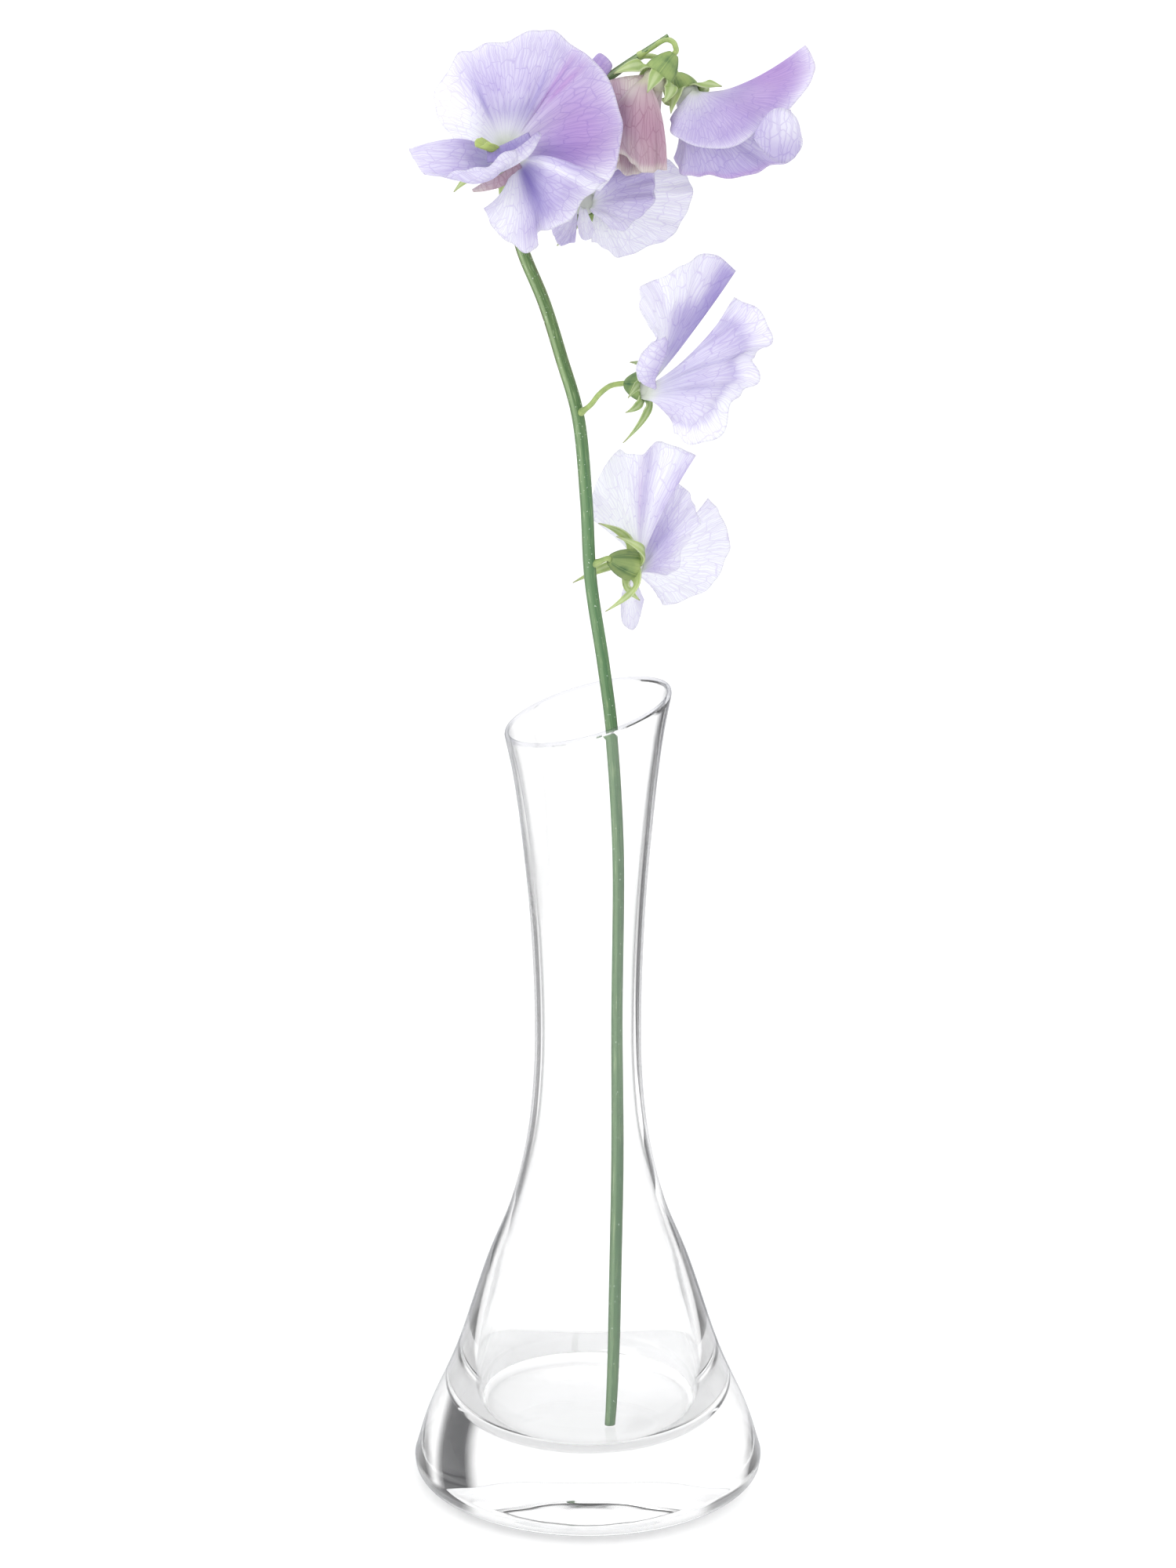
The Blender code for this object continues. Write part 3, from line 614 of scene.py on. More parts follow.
def sepalRows(tip, out, tangent, axis, arc, wide, late):
    # a pointed blade, with its place on the skin: points to both sides of a quadratic curve from the rim
    # of the bell to the tip, with a width that falls with a power of the share of the way
    root = out * calyx["cupRadius"]
    reach = np.linalg.norm(tip - root)
    control = root + (0.1 * axis + 0.38 * out) * reach + 0.1 * min(0, tip @ axis) * axis
    u = np.linspace(0, 1, calyx["sepalRows"] + 1)[1:, None, None]
    centre = (1 - u) ** 2 * root + 2 * u * (1 - u) * control + u ** 2 * tip
    width = wide * (1 - u ** 2.2) * (0.75 + 0.3 * np.sin(math.pi * u)) + 0.08
    # further out than late the blade turns its face to the front
    along = np.gradient(centre[:, 0], axis=0)
    facing = unit(np.cross(along, (0, -0.94, 0.33)))[:, None]
    facing = facing * math.copysign(1, (facing * tangent).sum())
    turned = np.clip((u - late) / (late + 0.3), 0, 1) * 0.7
    sideways = unit(tangent * (1 - turned) + facing * turned)
    s = np.linspace(-1, 1, calyx["perSepal"] + 1)[None, :, None]
    # near the rim the sepal blends from the arc of the bell to its own flat blade with a soft keel
    blade = centre + s * width * sideways - 0.35 * np.abs(s) ** 1.5 * width * 0.5 * out
    blend = np.clip(u / 0.3, 0, 1)
    skin = np.stack(np.broadcast_arrays((s[..., 0] + 1) / 2, 0.4 + 0.6 * u[..., 0]), -1)
    return blade * blend + (arc + (centre - root)) * (1 - blend), skin


def calyxGrid(bloom, wide):
    # a bell whose rim runs out into five pointed sepals, at even angles as near to the tips as can be
    axis, up, side = bloomFrame(bloom)
    perSepal = calyx["perSepal"]
    sides = 5 * perSepal
    tips = np.array(bloom["sepals"], float)
    turn = np.arctan2(tips @ up, tips @ side)
    order = np.argsort(turn)
    tips, turn = tips[order], turn[order]
    sector = 2 * math.pi / 5
    offset = np.angle(np.mean(np.exp(1j * (turn - sector * np.arange(5)))))
    ring = np.arange(sides)
    angle = offset + (ring - perSepal / 2) * sector / perSepal
    circle = np.cos(angle)[:, None] * side + np.sin(angle)[:, None] * up
    cup, share = bellRings(np.array(bloom["base"], float), circle, angle - offset)
    points, quads = [cup.reshape(-1, 3)], [gridQuads(len(cup), sides, True)]
    skins = [np.stack(np.meshgrid((ring + perSepal / 2) / perSepal % 1, share * 0.4), -1).reshape(-1, 2)]
    count = cup.size // 3
    rim = count - sides
    for i, tip in enumerate(tips):
        middle = offset + i * sector
        out = math.cos(middle) * side + math.sin(middle) * up
        tangent = math.cos(middle) * up - math.sin(middle) * side
        seam = (perSepal * i + np.arange(perSepal + 1)) % sides
        arc = cup[-1][seam][None]
        rows, skin = sepalRows(tip, out, tangent, axis, arc, wide, bloom.get("late", 0.2))
        points.append(rows.reshape(-1, 3))
        skins.append(skin.reshape(-1, 2))
        own = count + np.arange(rows.size // 3).reshape(len(rows), -1)
        quads.append(joinedQuads(np.vstack([rim + seam, own])))
        count += own.size
    return np.concatenate(points) + bloom["mouth"], np.vstack(quads), np.vstack(skins)


def pedicelLine(bloom, bends):
    # the little stalk from inside the foot of the calyx into the main one, which it meets square
    foot = [np.multiply(bloom["base"], stretch) for stretch in (0.85, 1, 1.15)]
    knots = np.array(foot + list(bends)) + bloom["mouth"]
    line = smoothCurve(stem["path"], 400)
    nearest = np.argmin(np.linalg.norm(line - knots[-1], axis=1))
    seat = line[nearest]
    reach = np.interp(nearest / (len(line) - 1), *zip(*stem["radii"]))
    kept = [k for k in knots[:-1] if np.linalg.norm(k - seat) > reach + calyx["pedicelClear"]]
    path = smoothCurve(np.vstack([kept, seat]), 120)
    # rings at even steps along the curve
    walked = np.append(0, np.cumsum(np.linalg.norm(np.diff(path, axis=0), axis=1)))
    at = np.linspace(0, walked[-1], max(12, round(walked[-1] / calyx["pedicelStep"])))
    return np.stack([np.interp(at, walked, path[:, k]) for k in range(3)], -1), seat, reach


def buildCalyx(bloomName, bloom, look, material):
    points, quads, skin = calyxGrid(bloom, look.get("sepal", 1.6))
    # tone holds how yellow it is and how strong its painted shade towards the foot is; only the foot of
    # the bell is closed
    tone = np.tile((*look.get("calyx", (0.4, 0.2)), 0, 1), (len(points), 1))
    foot = endCaps(len(points), 5 * calyx["perSepal"])[:1]
    shown = meshPiece("calyx_" + bloomName, points, quads, foot, skin, tone, calyx["thickness"])
    dress(shown, material, bloomName + "_calyx")


def buildPedicel(bloomName, bloom, look, material):
    path, seat, reach = pedicelLine(bloom, look.get("pedicel", bloom["pedicel"][1:]))
    # it swells where it meets the long stalk's skin and narrows inside it
    away = np.linalg.norm(path - seat, axis=1)
    swelling = 1 + 0.5 * np.exp(-((away - reach) / 1.2) ** 2)
    radii = calyx["pedicelRadius"] * swelling * np.clip(away / reach + 0.3, 0.3, 1)
    points, quads, skin = tubeGrid(path, radii, calyx["pedicelSides"])
    skin[:, 1] = 0.5
    tone = np.tile((*look.get("stalk", (0.7, 0.1)), 0, 1), (len(points), 1))
    caps = endCaps(len(points), calyx["pedicelSides"])
    shown = meshPiece("pedicel_" + bloomName, points, quads, caps, skin, tone)
    dress(shown, material, bloomName + "_calyx")


def calyxPaint():
    paint = Paint(bpy.data.materials.new("calyx"))
    x, y = paint.skin()
    place = paint.place()
    tone = paint.make("VertexColor", settings={"layer_name": "tone"})
    yellow = paint.make("SeparateColor", {0: tone})
    dark = yellow.output(1)
    cloud = paint.noise(place, 420.0, 3.0).step(0.3, 0.7)
    patch = paint.noise(place, 300.0).step(0.5, 0.66)
    # pale margins and a pale band along each sepal, painted shade in the grooves between them on the bell
    sepal = y.step(0.38, 0.55)
    edge = abs(x - 0.5).step(0.36, 0.5) * sepal
    band = abs(x - 0.5).step(0.28, 0.05) * y.step(0.3, 0.7)
    grooveShade = abs(x - 0.5).step(0.2, 0.5) * (1.0 - sepal)
    nerve = abs((x * 5.0).maths("FRACT") - 0.5).step(0.1, 0.0) * 0.5
    skinColour, through = paint.layered(calyx, "green", [
        (yellow * 0.65 + cloud * 0.35, "yellow"),
        # painted shade towards the foot and in the grooves, with darker nerves and patches of its own
        (dark * y.step(0.6, 0.1) + nerve * 0.35 + patch * 0.25 + grooveShade * 0.35, "dark"),
        (edge * 0.7 + band * 0.4 + y.step(0.5, 1.0) * 0.2, "pale"),
        (y.step(0.93, 1.0) * 0.5, "tip")])
    bump = paint.make("Bump", {"Strength": 0.3, "Distance": 0.00015, "Height": nerve + cloud * 0.4})
    surface = paint.make("BsdfPrincipled", {
        "Base Color": skinColour, "Roughness": cloud * 0.15 + calyx["roughness"], "Normal": bump})
    return paint.finished(paint.blended(calyx["through"], surface, through))


# Each bloom: mouth of its calyx, and from there the calyx base, the way up, the pedicel, the sepal tips
# and the petals. A petal is a fan of veins, each given by its middle point and its end on the margin.
# A bloom turned so far that its petals would meet at the mouth has places of its own for their starts.
blooms = {
    "front": dict(
        mouth=(-18, -5, 324), base=(1.5, 7, -5.5), up=(2, 6, 30),
        pedicel=[(1.5, 8.5, -6), (2, 11, -6), (2.5, 13, -5.5)],
        sepals=[(-12, 1, -8), (-1.5, 4, -12), (9, 8, -8), (7.5, 8, 4.5), (-6, 8, 4.5)],
        claws={"wing_left": (2.4, 140, 40, 1.3), "wing_right": (2.8, 116, 32, 1.2),
               "keel": (0.8, 180, 66, 1.4)},
        standard=[
            (-6.5, -3, 4, -12, -2, 4.5), (-7.5, -4, 8.5, -15, 0, 10), (-7.5, -4, 12, -15, 3, 14.5),
            (-6, -3, 15, -11.5, 7, 21.5), (-3.5, -2, 15.5, -7, 7, 22.5), (0, -3, 16.5, -1, 8, 24),
            (3.5, -4, 17.5, 6, 9, 27), (7, -3, 17, 10, 8, 26), (9, -2, 15, 15.5, 6, 23),
            (11, -4, 14, 20.5, 3, 20.5), (13, -3, 9, 24.5, -1, 11.5), (13.5, -4, 5, 25.5, -3, 6.5),
            (12, -4.5, 1.5, 24, -5, -1.5), (9, -5, -1, 20.5, -7, -6),
        ],
        wing_right=[
            (-0.5, -8, -4.5, -5, -12, -8.5), (0.5, -10, -6, -3, -12, -13),
            (2.5, -11.5, -8, 1.5, -10, -18), (4.5, -12, -7.5, 6, -10, -18),
            (6, -11, -6, 7.5, -11, -14.5), (7.5, -12, -4.5, 12.5, -12, -11.5),
            (9.5, -14, -1, 18, -13, -6), (10.5, -13.5, 3.5, 22, -12, -2),
        ],
        wing_left=[
            (-8.5, -7.5, 6, -20.5, -10, 5.5), (-9.5, -9, 4.5, -21.5, -12, 4.5),
            (-9.5, -12.5, 2, -20.5, -15, 3.5), (-8, -16, 0, -17.5, -18.5, 1),
            (-6.5, -19, -0.5, -14, -21, 1), (-4, -20.5, 0, -9.5, -22, 2.5), (-1, -19.5, 2, -4, -20, 4),
            (2, -16, 3, 2, -16, 5.5),
        ],
        keel=[
            (-2.5, -8, 4.5, -5.5, -11, 7.5), (-3, -10, 4.5, -7, -12.5, 7), (-2.5, -12, 4, -6.5, -14, 6),
            (-1.5, -12, 5.5, -4, -14, 7),
        ],
    ),
    "behind": dict(
        mouth=(-1, 8, 310.5), base=(-1.5, 7, 0.5), up=(20, 0, 20),
        pedicel=[(-1.5, 7.5, 0.5), (-3.5, 10, 3), (-6, 9, 9.5), (-7.5, 6.5, 14.5)],
        sepals=[(-6, 0, -10), (5.5, 6, -8.5), (5.5, 7, 2.5), (-2, 4, 5.5), (-6.5, 4, 0)],
        claws={"standard": (2.9, 0, 60, 1.2), "wing_right": (1.5, 50, 42, 1.7),
               "wing_left": (2.4, 122, 32, 1.2), "keel": (0.9, 180, 60, 1.5)},
        standard=[
            (2, -1, -4.5, 2, 0.5, -9), (4, -1.5, -5.5, 5.5, 0, -11.5), (6, -1, -6, 9.5, 1, -12.5),
            (9, 0.5, -4.5, 16.5, 3, -10.5), (10.5, 1.5, -3.5, 20.5, 4, -8),
            (12, 2.5, -1, 23.5, 5, -3.5), (12.5, 2.5, 2, 24.5, 7, 1.5), (11.5, 2, 4.5, 22.5, 8, 5.5),
            (9, 1, 6.5, 16, 9, 8), (4.5, 0.5, 6, 9, 9, 10),
        ],
        wing_right=[
            (4, -3.5, 5.5, 8, -1, 8.5), (6, -4, 5.5, 12.5, -2, 8.5), (8, -4.5, 5, 16, -3, 7.5),
            (8, -5.5, 3, 16, -4.5, 4), (7.5, -6.5, 1.5, 15, -6, 0.5), (6, -6.5, -0.5, 11.5, -6.5, -3),
            (4, -6.5, -1, 7.5, -6, -4.5), (2, -5.5, -1, 4.5, -5, -4),
        ],
        wing_left=[
            (-3, -3, 1, -5, -4, 0.5), (-4, -4, -0.5, -7, -5, -2.5), (-4, -4.5, -2.5, -7, -5, -5.5),
            (-3, -4, -4, -5.5, -4.5, -8.5), (-1.5, -4, -4, -2, -5, -8),
        ],
        keel=[
            (-1, -4.5, -1, -1.5, -7, -3), (-0.5, -6, -2, -0.5, -9, -6), (0.5, -6.5, -2, 1.5, -9.5, -6),
            (1, -6, -1, 2.5, -8.5, -4),
        ],
    ),
    "bud": dict(
        mouth=(15, 1.5, 340), base=(2.5, 1.5, 4), up=(-30, -4, -6),
        pedicel=[(3, 1.5, 4), (4.5, 2, 5), (4.5, 2.5, 7), (3.5, 2.5, 8), (2, 2.5, 8)],
        sepals=[(-10, -0.5, 2), (-2.5, -6, -2), (1.5, -4, -4), (2, 3.5, -5), (-4.5, 4.5, -2)],
        claws={"keel": (2.4, 180, 45, 0.9)},
        standard=[
            (1.5, -5, -7, 2.5, -4.5, -19), (-1, -6, -7, -1, -5.5, -19.5), (-5, -6, -6.5, -5, -5.5, -18),
            (-8.5, -3, -6, -8, -2.5, -15), (-9, 1.5, -8, -8.5, -0.5, -18.5), (-5, 5, -9, -6, -1, -21.5),
            (-1, 5, -9.5, -2, 0.5, -20.5), (1, 4, -9, 2, 1.5, -20),
        ],
        keel=[
            (-5.5, -1.5, -7, -6, -1.5, -17), (-2.5, -3, -7.5, -2.5, -3, -18.5),
            (1, -0.5, -8.5, 0.5, -1.5, -18), (-2.5, 2.5, -9, -2.5, 0, -19),
            (-5.5, 1, -7.5, -6, -0.5, -17),
        ],
    ),
    "top": dict(
        mouth=(22, 9, 335.5), base=(-2, 3, 3.5), up=(30, 0, 12),
        pedicel=[(-2, 3.5, 3.5), (-3, 5, 5), (-5, 4, 6.5), (-7.5, 2, 8), (-9.5, -1, 9)],
        sepals=[(8, -2, 2), (-3.5, -11, -2), (-2.5, 11, 3.5), (5, 7, 0.5), (-5.5, 1, -1.5)],
        claws={"standard": (2.8, 0, 58, 1.25), "keel": (0.85, 180, 75, 1.4)},
        standard=[
            (-2, -7.5, -1.5, -4, -8.5, -4), (-1, -9.5, -2.5, -2.5, -11, -6.5),
            (1.5, -10, -3, 0.5, -13, -8.5), (4, -11, -3, 6.5, -14, -9.5), (6.5, -11, -1.5, 12, -14, -8),
            (8.5, -10, 0, 17, -13, -4.5), (12, -7, 0.5, 23, -10, -1), (14, -4, 1.5, 27.5, -7, 3.5),
            (14.5, -1, 2, 29, -3, 6.5), (14, 1, 2.5, 26.5, 1, 11), (14, 4, 0.5, 28.5, 6, 3.5),
            (11.5, 7.5, -2, 22, 11, -5), (7, 10, -6, 13.5, 12, -12), (2, 9, -7.5, 2.5, 11, -13),
            (-0.5, 6, -5, -1.5, 8, -8),
        ],
        wing_right=[
            (-1.5, -3, -7.5, -3, -3.5, -14), (-0.5, -5, -9, -1.5, -5, -16.5),
            (0.5, -6, -9.5, 1.5, -6, -17.5), (3, -7, -9.5, 5.5, -6, -18), (6.5, -7.5, -9, 13, -7, -17),
            (8.5, -7.5, -7.5, 18.5, -7, -15.5), (11, -7, -6.5, 23.5, -6, -14),
            (12, -5.5, -5, 26, -4, -9.5), (11.5, -4, -3.5, 23.5, -3, -3),
        ],
        wing_left=[
            (-1.5, 4, -9.5, -1.5, 4, -15), (1.5, 7, -12.5, 2, 6, -19.5), (5.5, 8, -12.5, 10, 7, -19.5),
            (9, 8, -11, 18.5, 8, -18), (11, 7, -9, 23.5, 7, -14.5), (11.5, 4.5, -6, 23.5, 5, -7),
        ],
        keel=[
            (5.5, -2, -4, 11.5, -1.5, -5.5), (5, -2.5, -5.5, 11.5, -2, -8.5),
            (4, -0.5, -7.5, 8, 0, -11.5), (5.5, 1.5, -6.5, 11.5, 2, -9.5),
            (6, 1.5, -4.5, 11.5, 1.5, -6.5),
        ],
    ),
    "middle": dict(
        mouth=(13, 1, 269.5), base=(-4.5, 2, 0), up=(-2, 6, 30),
        pedicel=[(-4.5, 2, 0), (-8, 2, -0.5), (-10.5, 2, -2.5), (-12.5, 3.5, -5.5), (-13.5, 5, -8.5)],
        sepals=[(-5, -3, -12.5), (-4.5, -6, -4.5), (-4, -8, -0.5), (-3.5, -3, 6.5), (-2, 9, 1.5)],
        claws={"standard": (2.9, 0, 60, 1.1), "wing_right": (2.4, 122, 40, 1.3)},
        standard=[
            (1, -5.5, 2.5, -1.5, -6, 2.5), (0.5, -6.5, 4.5, -2, -8, 7.5), (2, -5.5, 7, 0.5, -8, 11.5),
            (3, -5.5, 9, 2, -9.5, 15), (3.5, -6, 11, -1, -11, 21), (3.5, -6.5, 14, -1.5, -11, 26),
            (5, -4.5, 15, 2.5, -8, 27), (6.5, -1, 15.5, 8.5, -3, 29.5), (8.5, 2, 14.5, 15.5, 3, 30),
            (11, 6, 11.5, 20, 9, 25),
        ],
        wing_right=[
            (10.5, -4, 9, 20, -1, 21), (12.5, -6, 10, 24.5, -2, 18.5), (14, -7.5, 8.5, 26.5, -3, 13.5),
            (14, -8.5, 7, 25.5, -4, 10.5), (13, -9, 6, 23, -5, 8.5), (13, -9.5, 4, 23, -5.5, 5),
            (12.5, -9.5, 2.5, 21, -6, 1.5), (11.5, -9.5, 0.5, 19, -6.5, -1.5),
            (9.5, -9.5, -1.5, 15, -7, -7.5), (7.5, -8.5, -3, 10.5, -7, -10),
            (3.5, -6, -3.5, 6.5, -6.5, -9),
        ],
        wing_left=[
            (10, 4, 4.5, 18, 7, 13.5), (12, 6, 4.5, 22, 8, 12), (13.5, 7, 2.5, 24, 8, 7.5),
            (13, 7, -0.5, 21, 7, 0.5), (11, 6.5, -3, 18, 6, -7), (8.5, 5.5, -5, 13.5, 5, -11),
            (4.5, 3.5, -5, 7.5, 3, -10.5),
        ],
        keel=[
            (5.5, -1, 1.5, 10, -0.5, 3), (6.5, -1.5, 0.5, 11.5, -1.5, 1.5), (6, 0, -1, 10.5, 0, -2),
            (6.5, 1.5, 0, 11.5, 1.5, 0.5), (6, 1, 1.5, 10, 1, 2.5),
        ],
    ),
    "lower": dict(
        mouth=(10, 12, 223.5), base=(-5, -3.5, 2.5), up=(-6, -2, 30),
        pedicel=[(-5, -3.5, 2.5), (-7.5, -3.5, 1)],
        sepals=[(-7.5, -3, 11), (-3.5, -10, 10), (-13.5, 2.5, -5), (-6, -7, -9), (2, 0, -8.5)],
        claws={"standard": (3, 7, 38, 1.2), "wing_right": (1.25, 92, 80, 2.35),
               "wing_left": (2.3, 95, 26, 1.2), "keel": (1, 180, 80, 1.4)},
        standard=[
            (-3, 8, 3.5, -9, 10, 7.5), (-3, 8.5, 5.5, -9, 9.5, 12.5), (-2.5, 7.5, 8, -8.5, 8, 16.5),
            (-1.5, 5.5, 11, -5.5, 4.5, 23.5), (0, 4, 13.5, -2.5, 2, 27), (2, 1.5, 14, 2.5, 0.5, 26.5),
            (3.5, 0, 15.5, 6, -0.5, 30), (5.5, -3, 16, 10.5, -4, 29.5), (8, -5, 16, 15, -7, 28.5),
        ],
        wing_right=[
            (4.5, 2.5, 9, 7, 3.5, 19.5), (6, 2, 9, 10, 4, 19), (7.5, 1, 8, 13, 4, 16.5),
            (8.5, -1, 7, 15, 4, 13), (8.5, -1, 5, 15, 3.5, 9), (7.5, -1, 2, 13, 2.5, 4),
            (6, -1, 0, 10, 1.5, -1), (4.5, -0.5, -1.5, 7.5, 1, -3),
        ],
        wing_left=[
            (9.5, 7.5, 5, 17.5, 14, 12), (10, 9.5, 3.5, 20.5, 15, 8.5), (11, 10.5, 1, 22.5, 16, 3.5),
            (11, 10.5, -1.5, 22.5, 16, -2.5), (9.5, 10, -4, 20, 15, -8.5),
            (7, 9.5, -6, 14.5, 13, -11.5), (4.5, 8, -7, 8.5, 11, -13.5), (3.5, 6.5, -6, 6, 9, -10.5),
        ],
        keel=[
            (-1.5, 3, -5.5, -2.5, 3.5, -10), (-1, 3, -8, -2, 3.5, -15), (0, 4, -8.5, 0.5, 4, -17),
            (0.5, 4.5, -7, 2, 5, -14.5), (1.5, 4, -5, 3, 5, -10),
        ],
    ),
}
